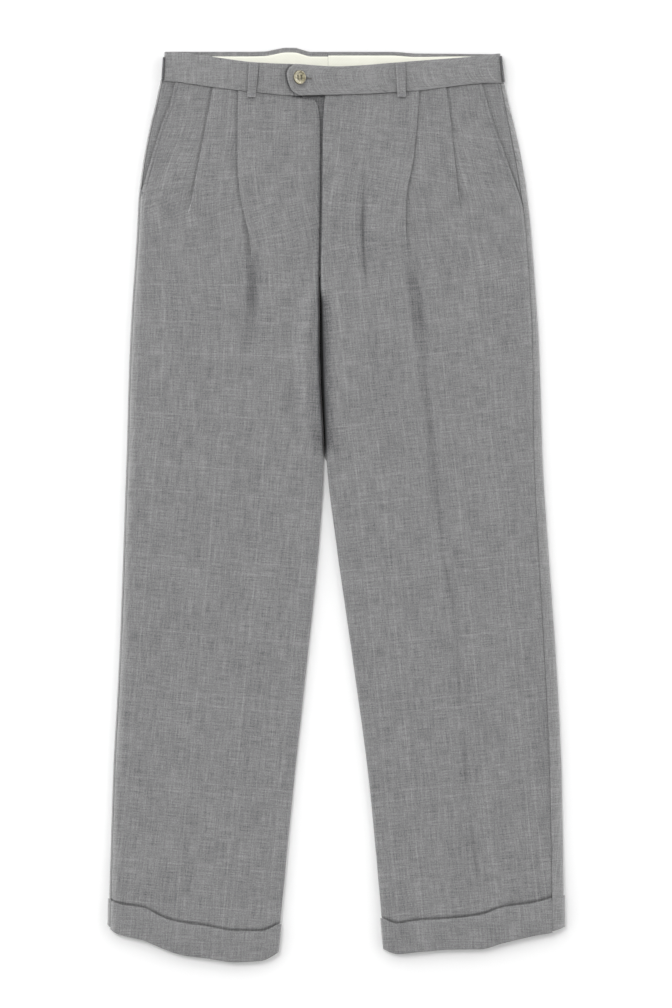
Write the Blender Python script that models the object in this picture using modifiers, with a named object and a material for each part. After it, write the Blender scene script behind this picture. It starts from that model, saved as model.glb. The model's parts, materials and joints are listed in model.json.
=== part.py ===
"""Pleated dress trousers with turn-ups, laid flat with the front up.

World frame, in metres: X runs across with the wearer's left at +X, Y runs up the garment with the
waist at +Y, and Z stands on the surface that the trousers lie on. The sizes and tables below are in
millimetres. A place along the garment is its drop: the distance below the highest point of the
waistband. Each leg is a flattened tube. Its front is the upper wall, its back is the lower wall, and
the back comes round the outer fold to the side seam.
"""

import math

import bpy
import numpy as np

MM = 0.001

LENGTH = 1097.0
CLOTH_WALL = 1.0
BAND_WALL = 1.6
LOOP_WALL = 1.2
SEAM_GAP = 0.3
LAYER = 1.4
HALF_WALL = CLOTH_WALL / 2

CROTCH_DROP = 288.0
CROTCH_BLEND = 26.0
CENTRE_BACK_AT_WAIST = -9.6
FOLD_NOSE = 1.3
LOWER_FOLD_WIDTH = 2.5
OUTER_FOLD_WIDTH = 6.0
SHIELD_CLEARANCE = 1.05
FLY_CLIMB = 1.3
FLY_CLIMB_WIDTH = 44.0
FLY_CLIMB_DROPS = (55.0, 125.0)
MOUTH_LIFT = 0.55
MOUTH_LIFT_WIDTH = 18.0
MOUTH_LIFT_OPENING = 3.0

PLEAT_BEND = 0.65
PLEAT_PLATEAU = (3.0, 1.5)
LEAST_TURN = 0.002
FULL_FALL_TURN = 0.15
RELAX_DROPS = (232.0, 330.0)

BAND_BACK_HEIGHT = 2.3
BAND_FRONT_HEIGHT = 5.5
TAB_HEIGHT = 7.4
LINING_HEIGHT = 3.9
LINING_LOWER_GAP = 1.0

BUTTON_DIAMETER = 17.4
BUTTON_THICKNESS = 2.8
BUTTON_CENTRE = (-43.7, 35.7)
BUTTON_TILT = math.radians(24)
BUTTON_HOLE_DIAMETER = 2.0
BUTTON_HOLE_SPACING = 4.2
BUTTON_STEPS = 28


class Table:
    """A short table with named columns, read between its rows along a smooth curve."""

    def __init__(self, names, *rows):
        self.names = names.split()
        self.columns = dict(zip(self.names, np.array(rows, float).T))

    def at(self, name, place):
        return smooth_between(self.columns[self.names[0]], self.columns[name], place)


def smooth_between(known, values, place):
    """Values at any places, along a cubic through the known ones that never overshoots them."""
    steps = np.diff(known)
    slopes = np.diff(values) / steps
    tangents = np.zeros(len(values))
    tangents[0] = slopes[0]
    tangents[-1] = slopes[-1]
    before = slopes[:-1]
    after = slopes[1:]
    same_way = before * after > 0
    tangents[1:-1][same_way] = (2 * before * after)[same_way] / (before + after)[same_way]
    place = np.clip(np.asarray(place, float), known[0], known[-1])
    left = np.clip(np.searchsorted(known, place, side="right") - 1, 0, len(steps) - 1)
    step = steps[left]
    t = (place - known[left]) / step
    start_value = values[left] * (1 + 2 * t) * (1 - t) ** 2
    end_value = values[left + 1] * (3 - 2 * t) * t**2
    start_slope = tangents[left] * step * t * (1 - t) ** 2
    end_slope = tangents[left + 1] * step * t**2 * (t - 1)
    return start_value + end_value + start_slope + end_slope


def ease(t):
    """Rises smoothly from 0 to 1 as t goes from 0 to 1."""
    t = np.clip(t, 0.0, 1.0)
    return t * t * (3 - 2 * t)


def bell(t):
    """Falls smoothly from 1 at t = 0 to 0 where t is 1 or more either way."""
    return (1 - np.minimum(np.abs(t), 1.0) ** 2) ** 2


# Height of the middle of the cloth above the surface: the lower wall, and the upper wall over it.
# The lower wall rises at the waist, over the belt loops, and at the hem, over the turn-up.
HEIGHTS = Table(
    "drop lower upper",
    (42, 2.0, 4.7),
    (60, 1.9, 4.7),
    (110, 0.5, 4.9),
    (160, 0.5, 5.0),
    (300, 0.5, 5.0),
    (494, 0.5, 4.8),
    (940, 0.5, 4.6),
    (1005, 1.9, 5.0),
    (1090, 1.9, 5.0),
)

# Edges of the waistband: the front's top edge and waist seam, and the same at the back.
WAIST = Table(
    "x front_top front_seam back_top back_seam",
    (-210, 4.8, 38.4, 4.8, 39.0),
    (-185, 6.4, 42.0, 4.8, 40.0),
    (-155, 10.1, 46.6, 4.9, 40.5),
    (-106, 16.9, 52.8, 4.9, 40.8),
    (-85, 18.4, 54.8, 4.4, 41.0),
    (-73, 19.1, 56.2, 2.2, 41.0),
    (-60, 19.5, 57.4, 0.1, 41.0),
    (-50, 19.9, 57.6, 0.1, 41.0),
    (-40, 20.3, 57.5, 2.6, 41.0),
    (-30, 21.2, 57.3, 5.0, 41.0),
    (0, 22.8, 56.8, 5.0, 41.0),
    (26, 21.6, 56.0, 5.0, 41.2),
    (67, 17.6, 54.0, 5.0, 41.6),
    (95, 14.6, 52.2, 6.8, 42.0),
    (128, 12.2, 48.2, 7.2, 42.0),
    (167, 9.6, 43.6, 7.6, 42.0),
    (205, 6.0, 41.0, 8.0, 42.0),
)

# Left end of the waistband's tab, from the band's top edge (0) to its lower edge (1).
TAB_END = Table(
    "down x",
    (0.0, -50.5),
    (0.07, -56.8),
    (0.25, -58.6),
    (0.5, -57.8),
    (0.77, -54.6),
    (0.93, -49.2),
    (1.0, -43.0),
)

# Shape of a leg down its length: its outer and inner outlines, how far the side seam and the pocket
# mouth lie inside the outer outline, and how far the inner edge rounds away.
LEFT_EDGES = Table(
    "drop outer inner seam mouth soft",
    (40, 201.0, -12.6, 4.2, 27.0, 1.4),
    (64, 206.2, -13.8, 4.6, 25.0, 1.4),
    (90, 212.8, -15.9, 6.0, 23.8, 1.4),
    (122, 220.2, -16.4, 7.2, 19.8, 1.4),
    (144, 224.3, -16.6, 7.3, 16.0, 1.4),
    (165, 227.6, -16.8, 7.2, 11.8, 1.4),
    (182, 229.8, -16.9, 6.8, 8.4, 1.4),
    (196, 231.4, -17.1, 6.2, 6.2, 1.4),
    (230, 234.6, -17.7, 6.2, 6.2, 1.6),
    (287, 238.8, -18.7, 6.2, 6.2, 5.0),
    (310, 240.6, -17.2, 6.6, 6.6, 10.0),
    (350, 243.0, -16.6, 7.4, 7.4, 12.0),
    (398, 244.9, -15.4, 8.4, 8.4, 12.0),
    (494, 247.8, -11.6, 10.0, 10.0, 12.0),
    (590, 253.8, -0.6, 11.5, 11.5, 12.0),
    (734, 264.0, 19.8, 13.5, 13.5, 12.0),
    (878, 270.8, 39.0, 14.0, 14.0, 11.0),
    (1090, 274.0, 58.6, 14.0, 14.0, 9.0),
)
RIGHT_EDGES = Table(
    "drop outer inner seam mouth soft",
    (40, -209.4, -40.0, 2.4, 18.0, 8.0),
    (58, -214.0, -28.0, 2.4, 17.6, 8.0),
    (72, -217.6, -21.0, 2.4, 17.0, 8.0),
    (90, -222.2, -18.4, 2.4, 14.0, 8.0),
    (122, -228.8, -18.3, 2.4, 10.4, 8.0),
    (144, -232.4, -18.4, 2.4, 7.6, 8.0),
    (165, -235.2, -18.5, 2.4, 4.4, 8.0),
    (182, -237.0, -18.6, 2.4, 2.4, 8.0),
    (230, -239.4, -19.4, 2.4, 2.4, 8.0),
    (287, -243.3, -20.5, 2.4, 2.4, 9.0),
    (310, -244.8, -19.5, 2.4, 2.4, 9.0),
    (350, -247.0, -19.4, 2.4, 2.4, 10.0),
    (398, -248.8, -18.0, 2.4, 2.4, 10.0),
    (482, -251.0, -14.8, 2.4, 2.4, 10.0),
    (518, -252.4, -15.3, 2.4, 2.4, 10.0),
    (590, -254.8, -19.8, 2.4, 2.4, 10.0),
    (734, -260.2, -34.2, 2.4, 2.4, 10.0),
    (878, -267.8, -49.8, 2.4, 2.4, 10.0),
    (1090, -273.8, -70.4, 2.4, 2.4, 9.0),
)

# Turn-ups: the drop of their top edge and of the hem, across each leg.
LEFT_HEM = Table(
    "x top hem",
    (55, 1044.0, 1080.0),
    (74, 1051.0, 1086.5),
    (96, 1047.6, 1084.4),
    (137, 1045.0, 1081.2),
    (174, 1040.5, 1080.5),
    (200, 1031.5, 1073.5),
    (241, 1025.4, 1064.0),
    (262, 1019.5, 1060.5),
    (276, 1016.0, 1055.0),
)
RIGHT_HEM = Table(
    "x top hem",
    (-276, 1018.0, 1052.0),
    (-262, 1027.0, 1062.5),
    (-231, 1032.0, 1070.0),
    (-205, 1044.7, 1081.0),
    (-185, 1050.0, 1087.6),
    (-158, 1053.6, 1091.2),
    (-120, 1060.0, 1096.2),
    (-90, 1060.0, 1094.6),
    (-68, 1051.0, 1084.0),
)

# Pleats of each front: where the fold's edge lies, how deep the cloth is folded under, how far it is
# turned, from 1 where it lies flat in three layers to 0 where it has opened out, and how far off the
# cloth beside it is still lifted.
LEFT_PLEATS = (
    Table(
        "drop x depth turn reach",
        (45, 100.5, 13.0, 1.0, 12),
        (85, 97.8, 12.0, 1.0, 14),
        (137, 92.4, 8.5, 1.0, 22),
        (169, 85.6, 5.0, 1.0, 28),
        (198, 83.0, 1.6, 1.0, 34),
        (226, 83.6, 0.3, 0.5, 36),
        (262, 88.5, 0.0, 0.0, 36),
        (1100, 170.0, 0.0, 0.0, 36),
    ),
    Table(
        "drop x depth turn reach",
        (45, 132.6, 13.0, 1.0, 12),
        (85, 138.0, 10.0, 1.0, 16),
        (150, 144.7, 4.0, 1.0, 22),
        (178, 147.4, 1.2, 1.0, 24),
        (204, 149.0, 0.2, 0.45, 26),
        (234, 150.0, 0.0, 0.0, 26),
        (1100, 200.0, 0.0, 0.0, 26),
    ),
)
RIGHT_PLEATS = (
    Table(
        "drop x depth turn reach",
        (45, -118.6, 13.0, 1.0, 11),
        (85, -119.2, 12.0, 1.0, 16),
        (134, -119.4, 9.0, 1.0, 24),
        (166, -117.4, 6.0, 1.0, 30),
        (200, -111.4, 2.4, 1.0, 34),
        (232, -103.6, 0.4, 0.55, 36),
        (268, -100.0, 0.0, 0.0, 36),
        (1100, -160.0, 0.0, 0.0, 36),
    ),
    Table(
        "drop x depth turn reach",
        (45, -148.6, 13.0, 1.0, 11),
        (104, -159.6, 9.0, 1.0, 16),
        (146, -168.0, 4.4, 1.0, 22),
        (178, -173.8, 1.2, 1.0, 24),
        (204, -178.0, 0.2, 0.45, 26),
        (234, -182.0, 0.0, 0.0, 26),
        (1100, -220.0, 0.0, 0.0, 26),
    ),
)

# Soft creases of each front. Each runs through three places, as wide to either side as its width,
# and its depth (a ridge where it is above 0) fades out at both ends.
CREASE_COLUMNS = "top_drop top_x middle_x bottom_drop bottom_x width depth"
LEFT_CREASES = (
    (150, 35, 33, 310, 40, 12, -1.1),
    (290, 38, 46, 490, 56, 16, -0.7),
    (215, 84, 100, 420, 110, 18, -1.3),
    (380, 105, 118, 640, 133, 15, -0.9),
    (600, 128, 146, 840, 149, 13, -0.7),
    (800, 149, 158, 1060, 174, 12, -0.8),
    (225, 122, 134, 315, 142, 20, -0.8),
    (690, 247, 252, 980, 256, 11, -0.7),
    (760, 230, 232, 1040, 234, 12, 0.5),
    (620, 28, 36, 850, 46, 14, -0.5),
    (330, 170, 176, 700, 190, 30, 0.35),
)
RIGHT_CREASES = (
    (215, -104, -102, 400, -110, 18, -1.5),
    (205, -130, -150, 240, -176, 12, -0.6),
    (420, -112, -118, 800, -140, 22, -0.4),
    (800, -258, -240, 1030, -206, 18, 0.6),
    (850, -258, -256, 960, -254, 12, -0.8),
    (880, -181, -179, 1050, -178, 14, -0.9),
    (300, -60, -70, 640, -86, 30, 0.35),
    (560, -232, -226, 820, -222, 22, -0.4),
    (660, -80, -96, 980, -112, 22, -0.4),
)

FRONT_ROWS = (
    50, 62, 76, 92, 109, 126, 143, 160, 178, 196, 214, 236, 262, 286, 306, 346, 400,
    460, 530, 610, 700, 790, 870, 930, 974, 1006, 1036, 1070,
)
BACK_ROWS = (
    50, 76, 109, 143, 178, 196, 236, 262, 286, 306, 346, 400, 460, 530, 610, 700, 790, 870,
    930, 974, 1006, 1036, 1070,
)
TOP_ROW = 50.0
HEM_ROW = 1070.0
TOP_FADE = 200.0
HEM_FADE = 160.0
BACK_HEM_SHORT = 2.0
HEM_CLEARANCE = 0.8

CORNER_ANGLES = (0, 24, 46, 68, 90)
BEND_STEPS = (0.0, 0.34, 0.67, 1.0)
BEFORE_PLEATS = (0.5, 1.0)
NEAR_PLEAT = (1.0, 0.5, 0.0)
AFTER_PLEATS = (0.0, 0.6)
SIDE_STEPS = (9.0, 3.5, 0.0)


class Leg:
    """One leg's outlines, folds and surfaces, as functions of drop and place across."""

    def __init__(self, side, toward_side, edges, hem, pleats, creases):
        self.side = side
        self.toward_side = toward_side
        self.edges = edges
        self.hem = hem
        self.pleats = pleats
        self.creases = [dict(zip(CREASE_COLUMNS.split(), row)) for row in creases]

    def width(self, drop):
        return np.abs(self.edges.at("outer", drop) - self.edges.at("inner", drop))

    def x_at(self, across, drop):
        """World x of a place that is so far across from the leg's inner outline."""
        return self.edges.at("inner", drop) + self.toward_side * across

    def across_at(self, x, drop):
        return (x - self.edges.at("inner", drop)) * self.toward_side

    def nose(self, drop):
        """Height at which the inner fold turns under. Above the crotch it is the fly's edge."""
        legs_part = ease((drop - CROTCH_DROP + CROTCH_BLEND) / CROTCH_BLEND)
        clear_of_shield = LAYER + SHIELD_CLEARANCE
        rise = clear_of_shield + (FOLD_NOSE - clear_of_shield) * legs_part
        return HEIGHTS.at("lower", drop) + rise

    def crease_lift(self, x, drop):
        lift = np.zeros(np.broadcast(x, drop).shape)
        for crease in self.creases:
            length = crease["bottom_drop"] - crease["top_drop"]
            along = (drop - crease["top_drop"]) / length
            inside = np.clip(along, 0.0, 1.0)
            line = (
                crease["top_x"] * (1 - inside) * (1 - 2 * inside)
                + crease["middle_x"] * 4 * inside * (1 - inside)
                + crease["bottom_x"] * inside * (2 * inside - 1)
            )
            strength = bell(2 * along - 1)
            lift = lift + crease["depth"] * strength * bell((x - line) / crease["width"])
        return lift

    def upper(self, across, drop, out=0.0):
        """Height of the upper wall. Both its edges turn down to a nose. out moves it outwards."""
        x = self.x_at(across, drop)
        top = HEIGHTS.at("upper", drop) + self.crease_lift(x, drop) + self.fly_lift(across, drop)
        top = top + self.mouth_lift(across, drop) + out
        soft = self.edges.at("soft", drop) + out
        inner_nose = self.nose(drop)
        outer_nose = HEIGHTS.at("lower", drop) + FOLD_NOSE
        from_inner = across - HALF_WALL + out
        from_outer = self.width(drop) - across - HALF_WALL + out
        height = inner_nose + (top - inner_nose) * round_profile(from_inner / soft)
        side_share = round_profile(from_outer / (OUTER_FOLD_WIDTH + out))
        return outer_nose + (height - outer_nose) * side_share

    def lower(self, across, drop, out=0.0):
        """Height of the lower wall, which is flat up to its folds."""
        flat = HEIGHTS.at("lower", drop) - out
        nose = HEIGHTS.at("lower", drop) + FOLD_NOSE
        from_outer = self.width(drop) - across - HALF_WALL + out
        return flat + (nose - flat) * (1 - round_profile(from_outer / (LOWER_FOLD_WIDTH + out)))

    def fly_lift(self, across, drop):
        """The left front climbs over the right one at the top of the fly."""
        if self.side == "right":
            return 0.0
        start, end = FLY_CLIMB_DROPS
        return FLY_CLIMB * bell(across / FLY_CLIMB_WIDTH) * (1 - ease((drop - start) / (end - start)))

    def mouth_lift(self, across, drop):
        """The pocket's mouth stands a little off the facing."""
        mouth = self.edges.at("mouth", drop)
        opening = ease((mouth - self.edges.at("seam", drop)) / MOUTH_LIFT_OPENING)
        away = self.width(drop) - mouth - across
        return MOUTH_LIFT * opening * bell(away / MOUTH_LIFT_WIDTH)


def round_profile(share):
    """Quarter circle: 0 with an upright start at share 0, and 1 with a flat end at share 1."""
    share = np.clip(share, 0.0, 1.0)
    return np.sqrt(np.maximum(1 - (1 - share) ** 2, 0.0))


LEFT = Leg("left", 1, LEFT_EDGES, LEFT_HEM, LEFT_PLEATS, LEFT_CREASES)
RIGHT = Leg("right", -1, RIGHT_EDGES, RIGHT_HEM, RIGHT_PLEATS, RIGHT_CREASES)


class Pleat:
    """Shape of one pleat at each drop, in the leg's own measure across.

    The cloth runs outwards to the fold's edge, bends back under itself, and bends out again.
    """

    def __init__(self, leg, table, drop):
        self.angle = np.maximum(table.at("turn", drop), LEAST_TURN) * math.pi
        self.depth = table.at("depth", drop)
        self.reach = table.at("reach", drop)
        self.radius = PLEAT_BEND * math.pi / self.angle
        self.edge = leg.across_at(table.at("x", drop), drop)
        reach = self.radius * np.sin(np.minimum(self.angle, math.pi / 2))
        self.start = self.edge - HALF_WALL - reach
        self.end = self.start + 2 * self.radius * np.sin(self.angle) + self.depth * np.cos(self.angle)
        self.fall = 2 * self.radius * (1 - np.cos(self.angle)) + self.depth * np.sin(self.angle)
        self.fall = self.fall * ease(table.at("turn", drop) / FULL_FALL_TURN)

    def bend_point(self, bend, share):
        """Place and lift of a point of the first or the second bend."""
        if bend == 1:
            across = self.radius * np.sin(share * self.angle)
            lift = -self.radius * (1 - np.cos(share * self.angle))
        else:
            left = self.angle * (1 - share)
            across = 2 * self.radius * np.sin(self.angle) - self.radius * np.sin(left)
            across = across + self.depth * np.cos(self.angle)
            lift = -self.fall_of(share)
        return self.start + across, self.fall / 2 + np.maximum(lift, -self.fall)

    def fall_of(self, share):
        left = self.angle * (1 - share)
        first = self.radius * (1 - np.cos(self.angle)) + self.depth * np.sin(self.angle)
        return first + self.radius * (np.cos(left) - np.cos(self.angle))

    def lift_at(self, across, passed):
        """Lift that the pleat gives the cloth beside it: up before the fold, down after it."""
        if passed:
            away = across - self.edge - PLEAT_PLATEAU[1]
            return -self.fall / 2 * bell(np.maximum(away, 0.0) / self.reach)
        away = self.start - self.depth - PLEAT_PLATEAU[0] - across
        return self.fall / 2 * bell(np.maximum(away, 0.0) / self.reach)


FREE_SHARE = 0.8
BETWEEN_SHARE = 0.5


def front_columns():
    """The places across a front, from its inner edge to its side, as (kind, values) pairs."""
    columns = [("corner", math.radians(angle)) for angle in CORNER_ANGLES]
    columns += [("before", share) for share in BEFORE_PLEATS]
    for pleat in (0, 1):
        columns += [("near", (pleat, share)) for share in NEAR_PLEAT]
        columns += [("bend", (pleat, bend, share)) for bend in (1, 2) for share in BEND_STEPS]
        columns += [("beyond", (pleat, share)) for share in (0.0, 0.5)]
    columns += [("after", share) for share in AFTER_PLEATS]
    columns += [("side", step) for step in SIDE_STEPS]
    return columns


def front_section(leg, drop):
    """Place across and height of every column of a front, for a grid of drops."""
    across = np.zeros(drop.shape)
    height = np.zeros(drop.shape)
    columns = front_columns()
    kinds = [kind for kind, _ in columns]
    first_free = kinds.index("before")
    last_free = kinds.index("side")
    for index, (kind, value) in enumerate(columns):
        at = drop[:, index]
        pleats = [Pleat(leg, table, at) for table in leg.pleats]
        corner_end = HALF_WALL + leg.edges.at("soft", at)
        side_end = leg.width(at) - leg.edges.at("mouth", at) - SEAM_GAP / 2
        side_start = side_end - SIDE_STEPS[0]
        lift = 0.0
        passed = 0
        if kind == "corner":
            place = HALF_WALL + leg.edges.at("soft", at) * (1 - math.cos(value))
        elif kind == "before":
            near = pleats[0].start - pleats[0].depth - PLEAT_PLATEAU[0] - pleats[0].reach
            place = corner_end + (near - corner_end) * value * FREE_SHARE
        elif kind == "near":
            passed = value[0]
            pleat = pleats[value[0]]
            room = pleat.reach
            if value[0] == 1:
                room = pleat.start - pleat.depth - pleats[0].edge - sum(PLEAT_PLATEAU)
            share = value[1] * (1.0 if value[0] == 0 else BETWEEN_SHARE)
            place = pleat.start - pleat.depth - PLEAT_PLATEAU[0] - room * share
        elif kind == "bend":
            passed = value[0]
            place, lift = pleats[value[0]].bend_point(value[1], value[2])
        elif kind == "beyond":
            passed = value[0] + 1
            pleat = pleats[value[0]]
            room = pleat.reach
            if value[0] == 0:
                room = pleats[1].start - pleats[1].depth - pleat.edge - sum(PLEAT_PLATEAU)
            place = pleat.edge + PLEAT_PLATEAU[1] + room * value[1] * BETWEEN_SHARE
        elif kind == "after":
            passed = 2
            start = pleats[1].edge + PLEAT_PLATEAU[1] + pleats[1].reach
            place = start + (side_start - start) * value * FREE_SHARE
        else:
            passed = 2
            place = side_end - value
        for number, pleat in enumerate(pleats):
            if kind == "bend" and number == value[0]:
                continue
            lift = lift + pleat.lift_at(place, number < passed)
        if first_free <= index < last_free:
            even_share = (index - first_free + 1) / (last_free - first_free + 1)
            even = corner_end + (side_start - corner_end) * even_share
            start, end = RELAX_DROPS
            place = place + (even - place) * ease((at - start) / (end - start))
        across[:, index] = place
        height[:, index] = leg.upper(place, at) + lift
    return across, height


def row_drops(rows, x, top_line, hem_line):
    """Drops of a grid whose rows follow the waist seam at one end and the hem at the other."""
    rows = np.array(rows, float)[:, None]
    top_share = ease((TOP_ROW + TOP_FADE - rows) / TOP_FADE)
    hem_share = ease((rows - HEM_ROW + HEM_FADE) / HEM_FADE)
    return rows + (top_line(x) - TOP_ROW) * top_share + (hem_line(x) - HEM_ROW) * hem_share


def slanted_grid(leg, rows, columns, section, top_line, hem_line):
    """Points of a panel: the rows' slant depends on x and x on the drop, so it is settled in turns."""
    drop = np.repeat(np.array(rows, float)[:, None], columns, axis=1)
    for _ in range(3):
        across, height = section(leg, drop)
        x = leg.x_at(across, drop)
        drop = row_drops(rows, x, top_line, hem_line)
    across, height = section(leg, drop)
    return np.stack([leg.x_at(across, drop), drop, height], axis=-1)


def front_points(leg):
    return slanted_grid(
        leg,
        FRONT_ROWS,
        len(front_columns()),
        front_section,
        lambda x: WAIST.at("front_seam", x) + SEAM_GAP / 2,
        lambda x: leg.hem.at("hem", x) - LAYER - HEM_CLEARANCE,
    )


LOWER_CORNER_ANGLES = (30, 52, 72, 90)
BACK_SHARES = (0.12, 0.3, 0.5, 0.7, 0.88)
SIDE_FOLD_SHARES = (0.0, 0.3, 0.6, 1.0)
SEAM_COLUMN_STEP = 1.6
BACK_MARGIN = 6.0
WAIST_DROP = 40.0


def centre_back(drop):
    """World x of the centre-back seam, down to the crotch and on between the legs."""
    between_legs = (LEFT.edges.at("inner", drop) + RIGHT.edges.at("inner", drop)) / 2
    share = ease((drop - WAIST_DROP) / (CROTCH_DROP - WAIST_DROP))
    return CENTRE_BACK_AT_WAIST + (between_legs - CENTRE_BACK_AT_WAIST) * share


def back_columns():
    columns = [("corner", math.radians(angle)) for angle in LOWER_CORNER_ANGLES]
    columns += [("flat", share) for share in BACK_SHARES]
    columns += [("under", math.radians(angle)) for angle in reversed(LOWER_CORNER_ANGLES)]
    columns += [("over", share) for share in SIDE_FOLD_SHARES]
    return columns


def back_section(leg, drop, out=0.0):
    """Place across and height of every column of a back, for a grid of drops."""
    across = np.zeros(drop.shape)
    height = np.zeros(drop.shape)
    for index, (kind, value) in enumerate(back_columns()):
        at = drop[:, index]
        width = leg.width(at)
        fold = LOWER_FOLD_WIDTH + out
        if kind == "corner":
            legs_part = ease((at - CROTCH_DROP + CROTCH_BLEND) / CROTCH_BLEND)
            folded = HALF_WALL - out + fold * (1 - math.cos(value))
            seam = leg.across_at(centre_back(at), at) + SEAM_GAP / 2
            flat = seam + SEAM_COLUMN_STEP * index
            place = flat + (folded - flat) * legs_part
            rise = (FOLD_NOSE + out) * (1 - math.sin(value)) * legs_part
            tall = HEIGHTS.at("lower", at) - out + rise
        elif kind == "flat":
            place = BACK_MARGIN + (width - 2 * BACK_MARGIN) * value
            tall = HEIGHTS.at("lower", at) - out
        elif kind == "under":
            place = width - HALF_WALL + out - fold * (1 - math.cos(value))
            tall = leg.lower(place, at, out)
        else:
            reach = leg.edges.at("seam", at) - HALF_WALL + out - SEAM_GAP / 2
            from_nose = reach * (1 - math.cos(value * math.pi / 2))
            place = width - HALF_WALL + out - from_nose
            tall = leg.upper(place, at, out)
        across[:, index] = place
        height[:, index] = tall
    return across, height


def back_points(leg):
    return slanted_grid(
        leg,
        BACK_ROWS,
        len(back_columns()),
        back_section,
        lambda x: WAIST.at("back_seam", x) + SEAM_GAP / 2,
        lambda x: leg.hem.at("hem", x) - LAYER - HEM_CLEARANCE - BACK_HEM_SHORT,
    )


CUFF_ROWS = (0.0, 0.33, 0.66, 1.0)
LIP_ANGLES = (30, 60, 90, 130, 180)
CUFF_MIDDLE = (0.08, 0.2, 0.32, 0.44, 0.56, 0.68, 0.8, 0.92)


def cuff_profile(short):
    """Rows of a turn-up: down its outside, then round the hem's fold to the leg's own end.

    Each row is a share of the way from the top edge to the fold, a drop past it, and a distance out.
    """
    half = LAYER / 2
    rows = [(share, -half - short, LAYER) for share in CUFF_ROWS]
    for angle in LIP_ANGLES:
        turn = math.radians(angle)
        rows.append((1.0, -half - short + half * math.sin(turn), half + half * math.cos(turn)))
    return rows


def cuff_drop(leg, x, row):
    share, past, _ = row
    top = leg.hem.at("top", x)
    hem = leg.hem.at("hem", x)
    return top + (hem + past - top) * share


def cuff_front_points(leg):
    """The front half of a turn-up, from the inseam to the side seam."""
    rows = cuff_profile(0.0)
    points = []
    for row in rows:
        out = row[2]
        line = []
        for kind, value in cuff_columns():
            drop = HEM_ROW
            for _ in range(4):
                soft = leg.edges.at("soft", drop) + out
                side_end = leg.width(drop) - leg.edges.at("seam", drop) - SEAM_GAP / 2
                corner_end = HALF_WALL - out + soft
                if kind == "corner":
                    place = HALF_WALL - out + soft * (1 - math.cos(value))
                elif kind == "middle":
                    place = corner_end + (side_end - SIDE_STEPS[0] - corner_end) * value
                else:
                    place = side_end - value
                x = leg.x_at(place, drop)
                drop = cuff_drop(leg, x, row)
            line.append((x, drop, leg.upper(place, drop, out)))
        points.append(line)
    return np.array(points, float)


def cuff_columns():
    columns = [("corner", math.radians(angle)) for angle in CORNER_ANGLES]
    columns += [("middle", share) for share in CUFF_MIDDLE]
    columns += [("side", step) for step in SIDE_STEPS]
    return columns


def cuff_back_points(leg):
    """The back half of a turn-up, which lies on the surface."""
    points = []
    for row in cuff_profile(BACK_HEM_SHORT):
        drop = np.full((1, len(back_columns())), HEM_ROW)
        for _ in range(4):
            across, height = back_section(leg, drop, row[2])
            x = leg.x_at(across, drop)
            drop = cuff_drop(leg, x, row)
        across, height = back_section(leg, drop, row[2])
        points.append(np.stack([leg.x_at(across, drop), drop, height], axis=-1)[0])
    return np.array(points)


FACING_UNDERLAP = 10.0
FACING_SINK = 1.6
FACING_CLIMB = 4.0
FACING_EDGE = 0.9
FACING_SEAM_GAP = SEAM_GAP + 0.05
FACING_COLUMNS = (0.35, 0.7, 1.0)
FACING_HIDDEN_COLUMNS = (3.5, FACING_UNDERLAP)


def facing_points(leg, end_row):
    """The cloth inside a pocket's mouth: flush with the back at the side seam, and under the front."""
    rows = [row for row in FRONT_ROWS if row <= end_row]
    columns = [("edge", 0.0), ("edge", 1.0)]
    columns += [("open", share) for share in FACING_COLUMNS]
    columns += [("hidden", reach) for reach in FACING_HIDDEN_COLUMNS]
    points = []
    for row in rows:
        line = []
        for kind, value in columns:
            drop = row
            for _ in range(4):
                seam_end = leg.width(drop) - leg.edges.at("seam", drop) - FACING_SEAM_GAP
                mouth_end = leg.width(drop) - leg.edges.at("mouth", drop)
                mouth_end = np.minimum(mouth_end, seam_end - 2 * FACING_EDGE)
                edge = FACING_EDGE / (seam_end - mouth_end)
                share = {"edge": edge * value, "open": edge + (1 - edge) * value, "hidden": 1.0}[kind]
                place = seam_end + (mouth_end - seam_end) * share
                if kind == "hidden":
                    place = place - value
                x = leg.x_at(place, drop)
                top_share = ease((TOP_ROW + TOP_FADE - row) / TOP_FADE)
                seam_line = WAIST.at("front_seam", x) + SEAM_GAP / 2
                drop = row + (seam_line - TOP_ROW) * top_share
            hidden_height = leg.upper(place, drop) - FACING_SINK
            flush_height = leg.upper(place, drop) - leg.mouth_lift(place, drop)
            opening = leg.edges.at("mouth", drop) - leg.edges.at("seam", drop)
            climb = ease(opening / FACING_CLIMB)
            flush = (1 - share) * climb
            line.append((x, drop, hidden_height + (flush_height - hidden_height) * flush))
        points.append(line)
    return np.array(points, float)


SHIELD_DROPS = (58.2, 266.0)
SHIELD_ROWS = 12
SHIELD_OFFSETS = (-22.0, -11.0, 0.0, 9.0, 18.0)
SHIELD_NARROWING = 0.65
SHIELD_NARROWS_FROM = 0.6
SHIELD_TOP_SHARE = 0.1
SHIELD_TOP_MIDDLE = -18.0
SHIELD_MOST_MIDDLE = -17.0


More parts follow.
